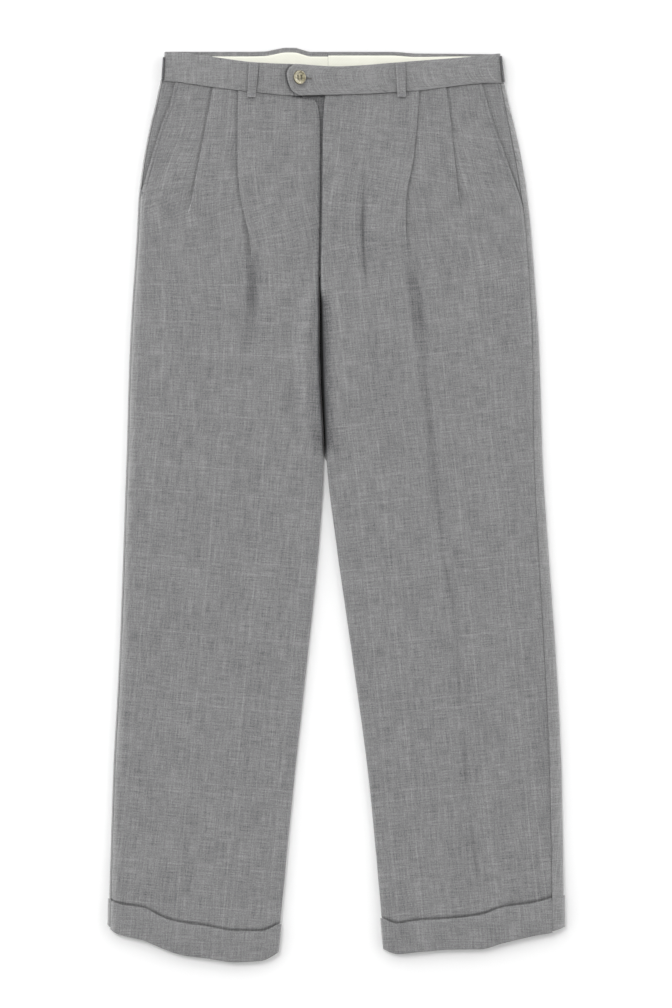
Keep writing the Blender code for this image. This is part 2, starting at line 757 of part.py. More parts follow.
def shield_points():
    """The strip under the fly's opening, from the waist seam to the end of the fly."""
    start, end = SHIELD_DROPS
    points = []
    for share in np.linspace(0, 1, SHIELD_ROWS):
        line = []
        narrowed = ease((share - SHIELD_NARROWS_FROM) / (1 - SHIELD_NARROWS_FROM))
        for offset in SHIELD_OFFSETS:
            drop = start + (end - start) * share
            fly = (LEFT.edges.at("inner", drop) + RIGHT.edges.at("inner", drop)) / 2
            fly = min(fly, SHIELD_MOST_MIDDLE) if share > SHIELD_TOP_SHARE else SHIELD_TOP_MIDDLE
            x = fly + offset * (1 - SHIELD_NARROWING * narrowed)
            drop = max(drop, WAIST.at("front_seam", x) + 1.0)
            line.append((x, drop, HEIGHTS.at("lower", drop) + LAYER))
        points.append(line)
    return np.array(points, float)


BAND_SIDE = {"left": (197.0, 199.6), "right": (-205.6, -207.8)}
BAND_ROWS = (0.0, 0.07, 0.28, 0.52, 0.77, 0.92, 1.0)
BAND_FOLD_ANGLES = (90, 60, 30, 0, -30, -60, -90)
LEFT_BAND_FRONT = (-58.6, -53, -45, -36, -26, -14, -5, 3, 11, 20, 40, 70, 100, 130, 160, 182)
LEFT_BAND_BACK = (180, 150, 120, 95, 75, 50, 20, CENTRE_BACK_AT_WAIST + SEAM_GAP / 2)
RIGHT_BAND_FRONT = (-8, -25, -45, -65, -85, -106, -130, -155, -175, -192)
RIGHT_BAND_BACK = (
    -190, -160, -130, -106, -90, -80, -70, -60, -50, -40, -30, -20,
    CENTRE_BACK_AT_WAIST - SEAM_GAP / 2,
)
TAB_EASE = (1.0, 0.8, 0.4, 0.0)
TAB_RAMP = (-7.0, 22.0)


def band_points(side):
    """One half of the waistband, from its front end round the side to the centre back."""
    toward_side = 1 if side == "left" else -1
    front_places = LEFT_BAND_FRONT if side == "left" else RIGHT_BAND_FRONT
    back_places = LEFT_BAND_BACK if side == "left" else RIGHT_BAND_BACK
    middle_height = (BAND_FRONT_HEIGHT + BAND_BACK_HEIGHT) / 2
    radius = (BAND_FRONT_HEIGHT - BAND_BACK_HEIGHT) / 2
    points = []
    for down in BAND_ROWS:
        side_x = BAND_SIDE[side][0] + (BAND_SIDE[side][1] - BAND_SIDE[side][0]) * down
        fold_centre = side_x - toward_side * (radius + BAND_WALL / 2)
        line = []
        for index, x in enumerate(front_places):
            height = BAND_FRONT_HEIGHT
            if side == "left":
                if index < len(TAB_EASE):
                    x = x + (TAB_END.at("x", down) - front_places[0]) * TAB_EASE[index]
                start, end = TAB_RAMP
                height = TAB_HEIGHT + (height - TAB_HEIGHT) * ease((x - start) / (end - start))
            line.append((x, band_drop(x, down, "front"), height))
        for angle in BAND_FOLD_ANGLES:
            turn = math.radians(angle)
            x = fold_centre + toward_side * radius * math.cos(turn)
            front_share = (1 + math.sin(turn)) / 2
            front = band_drop(x, down, "front")
            back = band_drop(x, down, "back")
            drop = back + (front - back) * front_share
            line.append((x, drop, middle_height + radius * math.sin(turn)))
        for x in back_places:
            line.append((x, band_drop(x, down, "back"), BAND_BACK_HEIGHT))
        points.append(line)
    return np.array(points, float)


def band_drop(x, down, layer):
    top = WAIST.at(layer + "_top", x)
    seam = WAIST.at(layer + "_seam", x) - SEAM_GAP / 2
    return float(top + (seam - top) * down)


LINING_TOP_GAP = {"left": 4.6, "right": 5.8}


def lining_points(side):
    """The lining on the inside of the band's back, a little below the band's top edge."""
    places = LEFT_BAND_BACK if side == "left" else RIGHT_BAND_BACK
    points = []
    for down in (0.0, 0.5, 1.0):
        line = []
        for x in places:
            top = WAIST.at("back_top", x) + LINING_TOP_GAP[side]
            bottom = WAIST.at("back_seam", x) - LINING_LOWER_GAP
            line.append((x, top + (bottom - top) * down, LINING_HEIGHT))
        points.append(line)
    return np.array(points, float)


# Front belt loops: the middle and the width at the top and at the lower end.
FRONT_LOOPS = {
    "left": {"top": (77.2, 19.0), "end": (79.0, 59.8), "widths": (11.4, 10.0)},
    "right": {"top": (-98.6, 18.4), "end": (-101.4, 59.6), "widths": (11.8, 9.8)},
}
FRONT_LOOP_HEIGHT = 7.3
FRONT_LOOP_BOW = 0.5


def front_loop_points(side):
    """A flat strip from the band's top edge to just below the waist seam."""
    loop = FRONT_LOOPS[side]
    points = []
    for down in np.linspace(0, 1, 7):
        middle = loop["top"][0] + (loop["end"][0] - loop["top"][0]) * down
        drop = loop["top"][1] + (loop["end"][1] - loop["top"][1]) * down
        width = loop["widths"][0] + (loop["widths"][1] - loop["widths"][0]) * down
        bow = FRONT_LOOP_BOW * math.sin(math.pi * down)
        line = [(middle + width * share, drop, FRONT_LOOP_HEIGHT + bow) for share in (-0.5, 0, 0.5)]
        points.append(line)
    return np.array(points, float)


SIDE_LOOP_DROPS = {"left": (10.2, 40.4), "right": (11.6, 37.8)}
SIDE_LOOP_ANGLES = (62, 35, 8, -20, -50, -90)
SIDE_LOOP_STAND = 0.9
SIDE_LOOP_TAIL = 7.0


def side_loop_points(side):
    """A strip that passes outside the band's side fold and lies under its back."""
    toward_side = 1 if side == "left" else -1
    middle_height = (BAND_FRONT_HEIGHT + BAND_BACK_HEIGHT) / 2
    radius = middle_height - LOOP_WALL / 2
    start, end = SIDE_LOOP_DROPS[side]
    points = []
    for down in np.linspace(0, 1, 5):
        side_x = BAND_SIDE[side][0] + (BAND_SIDE[side][1] - BAND_SIDE[side][0]) * down
        drop = start + (end - start) * down
        centre = side_x + toward_side * (SIDE_LOOP_STAND + LOOP_WALL / 2 - radius)
        line = []
        for angle in SIDE_LOOP_ANGLES:
            turn = math.radians(angle)
            height = middle_height + radius * math.sin(turn)
            line.append((centre + toward_side * radius * math.cos(turn), drop, height))
        line.append((centre - toward_side * SIDE_LOOP_TAIL, drop, LOOP_WALL / 2))
        points.append(line)
    return np.array(points, float)


BACK_LOOP_DROPS = (5.4, 20.0, 34.0, 47.0)
BACK_LOOP_WIDTH = 11.0


def back_loop_points():
    """The loop at the centre back, between the band and the surface."""
    points = []
    for drop in BACK_LOOP_DROPS:
        places = [CENTRE_BACK_AT_WAIST + BACK_LOOP_WIDTH * share for share in (-0.5, 0, 0.5)]
        line = [(x, drop, LOOP_WALL / 2) for x in places]
        points.append(line)
    return np.array(points, float)


def srgb(red, green, blue):
    """A colour given as 0 to 255 in sRGB, as the linear values that Blender takes."""
    shares = (red / 255, green / 255, blue / 255)
    linear = [s / 12.92 if s <= 0.04045 else ((s + 0.055) / 1.055) ** 2.4 for s in shares]
    return (*linear, 1.0)


def principled(name, colour, roughness):
    material = bpy.data.materials.new(name)
    material.use_nodes = True
    shader = material.node_tree.nodes["Principled BSDF"]
    shader.inputs["Base Color"].default_value = colour
    shader.inputs["Roughness"].default_value = roughness
    shader.inputs["Metallic"].default_value = 0.0
    material.diffuse_color = colour
    return material


def clear_scene():
    for obj in list(bpy.data.objects):
        bpy.data.objects.remove(obj, do_unlink=True)


def new_collection(name):
    collection = bpy.data.collections.new(name)
    bpy.context.scene.collection.children.link(collection)
    return collection


def world_place(x, drop, height):
    return (x * MM, (LENGTH / 2 - drop) * MM, height * MM)


def sheet(collection, name, points, wall, colour, roughness):
    """A cloth piece: an open sheet through a grid of points, made a wall by Solidify."""
    rows, columns = points.shape[:2]
    vertices = [world_place(*point) for row in points for point in row]
    faces = []
    for row in range(rows - 1):
        for column in range(columns - 1):
            corner = row * columns + column
            faces.append((corner, corner + 1, corner + columns + 1, corner + columns))
    mesh = bpy.data.meshes.new(name)
    mesh.from_pydata(vertices, [], faces)
    mesh.shade_smooth()
    obj = bpy.data.objects.new(name, mesh)
    obj.data.materials.append(principled(name, colour, roughness))
    collection.objects.link(obj)
    thicken = obj.modifiers.new("wall", "SOLIDIFY")
    thicken.thickness = wall * MM
    thicken.offset = 0.0
    thicken.use_even_offset = True
    thicken.use_rim = True
    return obj


def button_profile():
    """Half section of the button, from the middle of its face round the rim to its back."""
    radius = BUTTON_DIAMETER / 2
    half = BUTTON_THICKNESS / 2
    return (
        (0.0, half - 0.9),
        (radius - 3.0, half - 0.9),
        (radius - 2.2, half - 0.1),
        (radius - 1.2, half),
        (radius - 0.3, half - 0.5),
        (radius, half - 1.1),
        (radius - 0.5, half - 1.8),
        (radius - 2.4, -half),
        (0.0, -half),
    )


def waist_button(parts, cutters):
    """A turned four-hole button with a dished face, tilted as the buttonhole pulls it."""
    profile = button_profile()
    mesh = bpy.data.meshes.new("waist_button")
    vertices = [(radius * MM, 0.0, height * MM) for radius, height in profile]
    mesh.from_pydata(vertices, [(i, i + 1) for i in range(len(profile) - 1)], [])
    button = bpy.data.objects.new("waist_button", mesh)
    button.data.materials.append(principled("waist_button", srgb(151, 148, 127), 0.35))
    parts.objects.link(button)
    turn = button.modifiers.new("turn", "SCREW")
    turn.axis = "Z"
    turn.steps = BUTTON_STEPS
    turn.render_steps = BUTTON_STEPS
    turn.use_merge_vertices = True
    turn.merge_threshold = 0.00001
    from_middle = BUTTON_HOLE_SPACING / math.sqrt(2) * MM
    for number in range(4):
        angle = math.pi / 4 + number * math.pi / 2
        bpy.ops.mesh.primitive_cylinder_add(
            vertices=10,
            radius=BUTTON_HOLE_DIAMETER / 2 * MM,
            depth=3 * BUTTON_THICKNESS * MM,
            location=(from_middle * math.cos(angle), from_middle * math.sin(angle), 0.0),
        )
        hole = bpy.context.object
        hole.name = f"button_hole_cutter_{number + 1}"
        hole.hide_render = True
        hole.display_type = "WIRE"
        for holder in list(hole.users_collection):
            holder.objects.unlink(hole)
        cutters.objects.link(hole)
        hole.parent = button
        cut = button.modifiers.new(f"hole_{number + 1}", "BOOLEAN")
        cut.object = hole
        cut.operation = "DIFFERENCE"
    lift = BUTTON_DIAMETER / 2 * math.sin(BUTTON_TILT) + BUTTON_THICKNESS / 2
    height = TAB_HEIGHT + BAND_WALL / 2 + SEAM_GAP + lift
    button.location = world_place(*BUTTON_CENTRE, height)
    button.rotation_euler = (0.0, BUTTON_TILT, 0.0)
    return button


def main():
    clear_scene()
    parts = new_collection("pleated_dress_trousers")
    cutters = new_collection("cutters")
    cloth = srgb(137, 137, 138)
    dark_cloth = srgb(126, 126, 127)
    cream = srgb(246, 246, 237)
    for leg in (LEFT, RIGHT):
        sheet(parts, f"front_{leg.side}", front_points(leg), CLOTH_WALL, cloth, 0.9)
        sheet(parts, f"back_{leg.side}", back_points(leg), CLOTH_WALL, cloth, 0.9)
        sheet(parts, f"cuff_front_{leg.side}", cuff_front_points(leg), CLOTH_WALL, cloth, 0.9)
        sheet(parts, f"cuff_back_{leg.side}", cuff_back_points(leg), CLOTH_WALL, cloth, 0.9)
        sheet(parts, f"waistband_{leg.side}", band_points(leg.side), BAND_WALL, cloth, 0.9)
        lining = f"waistband_lining_{leg.side}"
        sheet(parts, lining, lining_points(leg.side), CLOTH_WALL, cream, 0.85)
        front_loop = f"belt_loop_front_{leg.side}"
        sheet(parts, front_loop, front_loop_points(leg.side), LOOP_WALL, cloth, 0.9)
        side_loop = f"belt_loop_side_{leg.side}"
        sheet(parts, side_loop, side_loop_points(leg.side), LOOP_WALL, cloth, 0.9)
    sheet(parts, "belt_loop_back", back_loop_points(), LOOP_WALL, cloth, 0.9)
    for leg, end_row in ((LEFT, 196), (RIGHT, 178)):
        facing = facing_points(leg, end_row)
        sheet(parts, f"pocket_facing_{leg.side}", facing, CLOTH_WALL, dark_cloth, 0.9)
    sheet(parts, "fly_shield", shield_points(), CLOTH_WALL, dark_cloth, 0.9)
    waist_button(parts, cutters)


main()
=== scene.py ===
"""Dresses the solid pleated trousers: woven cloth, lining, button and stitching, on a pale studio floor.

World frame, in metres: X runs across with the wearer's left at +X, Y runs up the garment with the
waist at +Y, and Z stands on the surface that the trousers lie on. The tables below are in
millimetres. A place along the garment is its drop: the distance below the highest point of the
waistband. Every sheet repeats the form of its solid with closer rows and columns, and then takes the
finer creases, seams and rolled edges.
"""

import json
import math
from functools import partial

import bpy
import numpy as np
from mathutils import Matrix, Vector

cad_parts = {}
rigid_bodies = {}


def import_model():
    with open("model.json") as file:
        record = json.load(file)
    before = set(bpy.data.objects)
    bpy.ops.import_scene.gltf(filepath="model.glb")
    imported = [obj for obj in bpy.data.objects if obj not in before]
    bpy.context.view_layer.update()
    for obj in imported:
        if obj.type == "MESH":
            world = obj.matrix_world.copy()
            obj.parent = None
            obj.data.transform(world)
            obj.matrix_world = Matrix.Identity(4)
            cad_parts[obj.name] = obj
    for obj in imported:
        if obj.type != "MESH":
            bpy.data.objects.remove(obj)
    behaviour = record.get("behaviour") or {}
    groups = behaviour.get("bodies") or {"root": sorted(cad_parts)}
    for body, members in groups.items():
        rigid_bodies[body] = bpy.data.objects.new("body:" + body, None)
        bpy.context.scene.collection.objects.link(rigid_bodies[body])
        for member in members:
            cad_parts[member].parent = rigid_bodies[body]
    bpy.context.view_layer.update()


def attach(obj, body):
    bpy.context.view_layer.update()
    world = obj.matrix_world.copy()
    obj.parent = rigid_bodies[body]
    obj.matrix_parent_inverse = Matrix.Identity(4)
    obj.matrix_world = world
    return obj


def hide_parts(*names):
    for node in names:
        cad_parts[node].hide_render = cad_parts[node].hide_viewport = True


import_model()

bl_info = {
    "name": "Pleated Dress Trousers",
    "version": (1, 0, 0),
    "blender": (4, 5, 0),
    "location": "3D View > Sidebar > Trousers",
    "description": "Cloth, lining, button and stitching for a pair of pleated dress trousers",
    "category": "Object",
}

BODY = "root"
MM = 0.001
TOWARD_SIDE = {"left": 1, "right": -1}

LENGTH = 1097.0
CLOTH_WALL = 1.0
FRONT_WALL = 0.6
BAND_WALL = 1.6
LOOP_WALL = 1.2
SEAM_GAP = 0.3
LAYER = 1.4
HALF_WALL = CLOTH_WALL / 2

CROTCH_DROP = 288.0
CROTCH_BLEND = 26.0
WAIST_DROP = 40.0
CENTRE_BACK_AT_WAIST = -9.6
FOLD_NOSE = 1.3
LOWER_FOLD_WIDTH = 2.5
OUTER_FOLD_WIDTH = {"left": 9.5, "right": 13.0}
SHIELD_CLEARANCE = 1.05
FLY_CLIMB = 1.3
FLY_CLIMB_WIDTH = 44.0
FLY_CLIMB_DROPS = (55.0, 125.0)
ROLL_PLACE = 0.8
INNER_SQUARENESS = {"left": 2.1, "right": 2.6}
MOUTH_LIFT = 0.3
MOUTH_LIFT_WIDTH = 18.0
MOUTH_LIFT_OPENING = 3.0

PLEAT_BEND = 0.36
PASSED_REACH = 3.5
PLEAT_PLATEAU = (3.0, 0.8)
LEAST_TURN = 0.002
LEAST_DEPTH = 0.5
LEAST_STEP = 0.6
FULL_FALL_TURN = 0.15
RELAX_DROPS = (232.0, 330.0)

BAND_BACK_HEIGHT = 2.3
BAND_FRONT_HEIGHT = 5.5
TAB_HEIGHT = 7.6
LINING_HEIGHT = 3.9
LINING_LOWER_GAP = 1.0

BUTTON_CENTRE = (-43.7, 36.4)

TOP_ROW = 50.0
HEM_ROW = 1070.0
TOP_FADE = 200.0
HEM_FADE = 160.0
BACK_HEM_SHORT = 2.0
HEM_CLEARANCE = 0.8


# ---------------------------------------------------------------------------------------------
# Curves and tables
# ---------------------------------------------------------------------------------------------


class Table:
    """A short table with named columns, read between its rows along a smooth curve."""

    def __init__(self, names, *rows):
        self.names = names.split()
        self.columns = dict(zip(self.names, np.array(rows, float).T))

    def at(self, name, place):
        return smooth_between(self.columns[self.names[0]], self.columns[name], place)


def smooth_between(known, values, place):
    """Values at any places, along a cubic through the known ones that never overshoots them."""
    steps = np.diff(known)
    slopes = np.diff(values) / steps
    tangents = np.zeros(len(values))
    tangents[0] = slopes[0]
    tangents[-1] = slopes[-1]
    before = slopes[:-1]
    after = slopes[1:]
    same_way = before * after > 0
    tangents[1:-1][same_way] = (2 * before * after)[same_way] / (before + after)[same_way]
    place = np.clip(np.asarray(place, float), known[0], known[-1])
    left = np.clip(np.searchsorted(known, place, side="right") - 1, 0, len(steps) - 1)
    step = steps[left]
    t = (place - known[left]) / step
    start_value = values[left] * (1 + 2 * t) * (1 - t) ** 2
    end_value = values[left + 1] * (3 - 2 * t) * t**2
    start_slope = tangents[left] * step * t * (1 - t) ** 2
    end_slope = tangents[left + 1] * step * t**2 * (t - 1)
    return start_value + end_value + start_slope + end_slope


def ease(t):
    """Rises smoothly from 0 to 1 as t goes from 0 to 1."""
    t = np.clip(t, 0.0, 1.0)
    return t * t * (3 - 2 * t)


def mix(first, last, share):
    """The value that lies so far between two others."""
    return first + (last - first) * share


def window(place, start, end, fade, last_fade=None):
    """1 from start to end: it rises over the fade after start, and falls over the one after end."""
    return ease((place - start) / fade) * (1 - ease((place - end) / (last_fade or fade)))


def bell(t):
    """Falls smoothly from 1 at t = 0 to 0 where t is 1 or more either way."""
    return (1 - np.minimum(np.abs(t), 1.0) ** 2) ** 2


def round_profile(share, squareness=2.0):
    """From 0 with an upright start to 1 with a flat end. A squareness of 2 gives a quarter circle."""
    share = np.clip(share, 0.0, 1.0)
    return np.maximum(1 - (1 - share) ** squareness, 0.0) ** (1 / squareness)


def through_three(first, middle, last, share):
    """The parabola through three values at shares 0, 0.5 and 1."""
    start = first * (1 - share) * (1 - 2 * share)
    return start + middle * 4 * share * (1 - share) + last * share * (2 * share - 1)


# Painted shade and highlight of the cloth: how much darker each millimetre of a trough is painted,
# and how much lighter the outer folds are painted, as a highlight, and how wide.
TROUGH_SHADE = 0.12
OUTER_FOLD_HIGHLIGHT = {"left": (0.42, 18.0), "right": (0.85, 13.0)}
# Where the legs meet, and the shares and widths of the painted shade there, at its top and at its lower end.
LEGS_MEET = (285.0, 474.0, 22.0)
GAP_SHADE = {
    "left": ((0.9, 14.0, 18.0), (0.3, 7.0, 8.0), (1.5, 1.8, 2.6)),
    "right": ((0.7, 14.0, 25.0), (0.6, 5.0, 6.0), (1.5, 1.8, 2.6)),
}
# The painted shade beside the fly, and how far down it goes.
FLY_SHADE = {"left": (1.6, 2.0), "right": (0.5, 5.5)}
FLY_SHADE_DROPS = (66.0, 290.0, 20.0, 30.0)
# The painted shade under the tab, and where it ends.
TAB_SHADE = 2.3
TAB_SHADE_END = (58.2, 4.0)

# Height of the middle of the cloth above the surface: the lower wall, and the upper wall over it.
HEIGHTS = Table(
    "drop lower upper",
    (42, 2.0, 4.7),
    (60, 1.9, 4.7),
    (110, 0.5, 4.9),
    (160, 0.5, 5.0),
    (300, 0.5, 5.0),
    (494, 0.5, 4.8),
    (940, 0.5, 4.6),
    (1005, 1.9, 5.0),
    (1090, 1.9, 5.0),
)

# Edges of the waistband: the front's top edge and waist seam, and the same at the back.
WAIST = Table(
    "x front_top front_seam back_top back_seam",
    (-210, 4.8, 38.4, 4.8, 39.0),
    (-185, 6.4, 42.0, 4.8, 40.0),
    (-155, 10.1, 46.6, 4.9, 40.5),
    (-106, 16.9, 52.8, 4.9, 40.8),
    (-85, 18.4, 54.8, 4.4, 41.0),
    (-73, 19.1, 56.2, 2.2, 41.0),
    (-60, 19.5, 57.4, 0.1, 41.0),
    (-50, 19.9, 57.6, 0.1, 41.0),
    (-40, 20.3, 57.5, 2.6, 41.0),
    (-30, 21.2, 57.3, 5.0, 41.0),
    (0, 22.8, 56.8, 5.0, 41.0),
    (26, 21.6, 56.0, 5.0, 41.2),
    (67, 18.4, 54.0, 5.0, 41.6),
    (95, 16.2, 52.2, 6.8, 42.0),
    (128, 13.8, 48.2, 7.2, 42.0),
    (167, 10.6, 43.6, 7.6, 42.0),
    (205, 6.0, 41.0, 8.0, 42.0),
)

# Left end of the waistband's tab, from the band's top edge (0) to its lower edge (1).
TAB_END = Table(
    "down x",
    (0.0, -49.0),
    (0.05, -52.6),
    (0.12, -56.0),
    (0.21, -58.4),
    (0.32, -59.3),
    (0.5, -58.2),
    (0.77, -54.6),
    (0.93, -49.2),
    (1.0, -43.0),
)

# Shape of a leg down its length: its outer and inner outlines, how far the side seam and the pocket
# mouth lie inside the outer outline, and how far the inner edge rounds away.
LEFT_EDGES = Table(
    "drop outer inner seam mouth soft",
    (40, 201.0, -12.6, 4.2, 27.0, 1.4),
    (64, 206.2, -13.8, 4.6, 25.0, 1.4),
    (90, 212.8, -15.9, 6.0, 23.8, 1.4),
    (122, 220.2, -16.4, 7.2, 19.8, 1.4),
    (144, 224.3, -16.6, 7.3, 16.0, 1.4),
    (165, 227.6, -16.8, 7.2, 11.8, 1.4),
    (182, 229.8, -16.9, 6.8, 8.4, 1.4),
    (196, 231.4, -17.1, 6.2, 6.2, 1.4),
    (230, 234.6, -17.7, 6.2, 6.2, 1.6),
    (287, 238.8, -18.7, 6.2, 6.2, 5.0),
    (310, 240.6, -17.2, 6.6, 6.6, 9.0),
    (350, 243.0, -16.4, 7.4, 7.4, 12.0),
    (398, 244.9, -15.3, 8.4, 8.4, 12.0),
    (494, 247.8, -11.6, 10.0, 10.0, 12.0),
    (590, 253.8, -0.6, 11.5, 11.5, 12.0),
    (734, 264.0, 19.8, 13.5, 13.5, 12.0),
    (878, 270.8, 39.0, 14.0, 14.0, 11.0),
    (1090, 274.0, 58.6, 14.0, 14.0, 9.0),
)
RIGHT_EDGES = Table(
    "drop outer inner seam mouth soft",
    (40, -210.4, -40.0, 2.4, 18.0, 8.0),
    (58, -214.4, -28.0, 2.4, 17.6, 8.0),
    (72, -217.6, -21.0, 2.4, 17.0, 8.0),
    (90, -222.2, -18.4, 2.4, 14.0, 8.0),
    (122, -228.8, -18.3, 2.4, 10.4, 8.0),
    (144, -232.4, -18.4, 2.4, 7.6, 8.0),
    (165, -235.2, -18.5, 2.4, 4.4, 8.0),
    (182, -237.0, -18.6, 2.4, 2.4, 8.0),
    (230, -239.4, -19.4, 2.4, 2.4, 8.0),
    (287, -243.3, -20.5, 2.4, 2.4, 9.0),
    (310, -244.8, -19.9, 2.4, 2.4, 9.0),
    (350, -247.0, -20.0, 2.4, 2.4, 14.0),
    (398, -248.8, -18.8, 2.4, 2.4, 14.0),
    (482, -251.0, -14.8, 2.4, 2.4, 10.0),
    (518, -252.4, -15.3, 2.4, 2.4, 10.0),
    (590, -254.8, -19.8, 2.4, 2.4, 10.0),
    (734, -260.2, -34.2, 2.4, 2.4, 10.0),
    (878, -267.8, -49.8, 2.4, 2.4, 10.0),
    (1090, -273.8, -70.4, 2.4, 2.4, 9.0),
)

# How far each front's inner edge stands up as a soft roll, and how wide the roll is.
LEFT_ROLL = Table(
    "drop rise width",
    (50, 0.4, 14),
    (110, 0.9, 14),
    (280, 1.0, 14),
    (325, 2.8, 22),
    (448, 3.4, 22),
    (476, 1.6, 20),
    (505, 0.5, 18),
    (580, 0.2, 18),
    (1100, 0.0, 18),
)
RIGHT_ROLL = Table(
    "drop rise width",
    (50, -0.3, 12),
    (110, -1.6, 12),
    (270, -1.4, 12),
    (325, 4.4, 24),
    (448, 5.2, 24),
    (476, 1.6, 20),
    (505, 0.5, 18),
    (580, 0.2, 18),
    (1100, 0.0, 18),
)

# Turn-ups: the drop of their top edge and of the hem, across each leg.
LEFT_HEM = Table(
    "x top hem",
    (55, 1044.0, 1080.0),
    (74, 1051.0, 1086.5),
    (96, 1047.6, 1084.4),
    (137, 1045.0, 1081.2),
    (174, 1040.5, 1080.5),
    (200, 1031.5, 1073.5),
    (241, 1025.4, 1064.0),
    (262, 1019.5, 1060.5),
    (276, 1016.0, 1055.0),
)
RIGHT_HEM = Table(
    "x top hem",
    (-276, 1018.0, 1052.0),
    (-262, 1027.0, 1062.5),
    (-231, 1032.0, 1070.0),
    (-205, 1044.7, 1081.0),
    (-185, 1050.0, 1087.6),
    (-158, 1053.6, 1091.2),
    (-120, 1060.0, 1096.2),
    (-90, 1060.0, 1094.6),
    (-68, 1051.0, 1084.0),
)

# Pleats of each front: where the fold's edge lies, how deep the cloth is folded under, how far it is
# turned, from 1 where it lies flat in three layers to 0 where it has opened out, and how far off the
# cloth beside it is still lifted.
PLEAT_COLUMNS = "drop x depth turn reach"
LEFT_PLEATS = (
    Table(
        PLEAT_COLUMNS,
        (45, 100.5, 13.0, 1.0, 12),
        (85, 97.8, 12.0, 1.0, 14),
        (137, 92.4, 8.5, 1.0, 22),
        (169, 86.4, 5.0, 1.0, 28),
        (198, 83.8, 1.6, 1.0, 34),
        (226, 83.6, 0.3, 0.5, 36),
        (262, 88.5, 0.0, 0.0, 36),
        (1100, 170.0, 0.0, 0.0, 36),
    ),
    Table(
        PLEAT_COLUMNS,
        (45, 132.0, 13.0, 1.0, 12),
        (85, 137.3, 10.0, 1.0, 16),
        (140, 142.9, 4.0, 1.0, 22),
        (162, 145.6, 1.4, 1.0, 24),
        (181, 147.5, 0.3, 0.6, 26),
        (200, 148.8, 0.0, 0.0, 26),
        (1100, 200.0, 0.0, 0.0, 26),
    ),
)
RIGHT_PLEATS = (
    Table(
        PLEAT_COLUMNS,
        (45, -117.2, 13.0, 1.0, 11),
        (85, -117.8, 12.0, 1.0, 16),
        (134, -118.0, 9.0, 1.0, 24),
        (166, -116.0, 6.0, 1.0, 30),
        (200, -110.0, 2.6, 1.0, 34),
        (232, -102.8, 0.8, 0.8, 36),
        (268, -100.0, 0.0, 0.0, 36),
        (1100, -160.0, 0.0, 0.0, 36),
    ),
    Table(
        PLEAT_COLUMNS,
        (45, -147.0, 13.0, 1.0, 11),
        (104, -158.0, 9.0, 1.0, 16),
        (138, -164.7, 4.4, 1.0, 22),
        (164, -169.6, 1.6, 1.0, 24),
        (185, -173.6, 0.3, 0.6, 26),
        (206, -178.4, 0.0, 0.0, 26),
        (1100, -220.0, 0.0, 0.0, 26),
    ),
)

# Creases of each front. Each runs through three places, as wide to either side as its width, and its
# depth (a ridge where it is above 0) fades out at both ends. The solids hold the first group, and the
# second is the finer one. Columns: top drop and x, middle x, bottom drop and x, width, depth.
LEFT_CREASES = (
    (150, 35, 33, 310, 40, 12, -1.1),
    (290, 38, 46, 490, 56, 16, -0.7),
    (215, 84, 100, 420, 110, 18, -1.3),
    (380, 105, 118, 640, 133, 15, -0.9),
    (600, 128, 146, 840, 149, 13, -0.7),
    (800, 149, 158, 1060, 174, 12, -0.8),
    (225, 122, 134, 315, 142, 20, -0.8),
    (690, 247, 252, 980, 256, 11, -0.7),
    (760, 230, 232, 1040, 234, 12, 0.5),
    (620, 28, 36, 850, 46, 14, -0.5),
    (330, 170, 176, 700, 190, 30, 0.35),
)
RIGHT_CREASES = (
    (215, -104, -102, 400, -110, 18, -1.5),
    (205, -130, -150, 240, -176, 12, -0.6),
    (420, -112, -118, 800, -140, 22, -0.4),
    (800, -258, -240, 1030, -206, 18, 0.6),
    (850, -258, -256, 960, -254, 12, -0.8),
    (880, -181, -179, 1050, -178, 14, -0.9),
    (300, -60, -70, 640, -86, 30, 0.35),
    (560, -232, -226, 820, -222, 22, -0.4),
    (660, -80, -96, 980, -112, 22, -0.4),
)
LEFT_FINE_CREASES = (
    (118, 38.8, 32.2, 329, 44.4, 3.5, -1.8),
    (118, 39.8, 33.2, 329, 46.4, 12, -1.0),
    (240, 80, 90, 390, 99, 6, -1.20),
    (196, 32, 22.8, 264, 14.5, 4, -0.9),
    (195, 98, 114, 222, 130, 8, -0.55),
    (262, 130, 133, 288, 136, 9, -0.45),
    (228, 85.5, 98, 390, 110, 12, -1.80),
    (225, 70, 82, 420, 94, 9, 0.90),
    (225, 101, 114, 430, 125, 9, 0.45),
    (300, 97, 110, 560, 128, 9, -1.60),
    (340, 112, 126, 560, 143, 8, 0.30),
    (440, 111, 122, 640, 133, 6, -0.80),
    (580, 122, 135, 700, 147, 6, -1.60),
    (680, 145, 147.5, 840, 150, 5, -0.90),
    (800, 149, 155, 920, 160, 5, -1.00),
    (900, 158, 168, 1050, 174, 6, -1.20),
    (950, 266, 267, 1016, 267, 4, 0.30),
    (990, 240, 246, 1036, 248, 10, -0.45),
    (700, 258, 262, 860, 264, 7, 0.30),
    (330, 60, 66, 420, 70, 10, -0.25),
    (250, 160, 172, 330, 180, 12, -0.30),
    (520, 60, 64, 640, 70, 9, -0.20),
    (760, 90, 98, 960, 112, 11, -0.25),
    (860, 196, 200, 1030, 206, 12, -0.25),
)
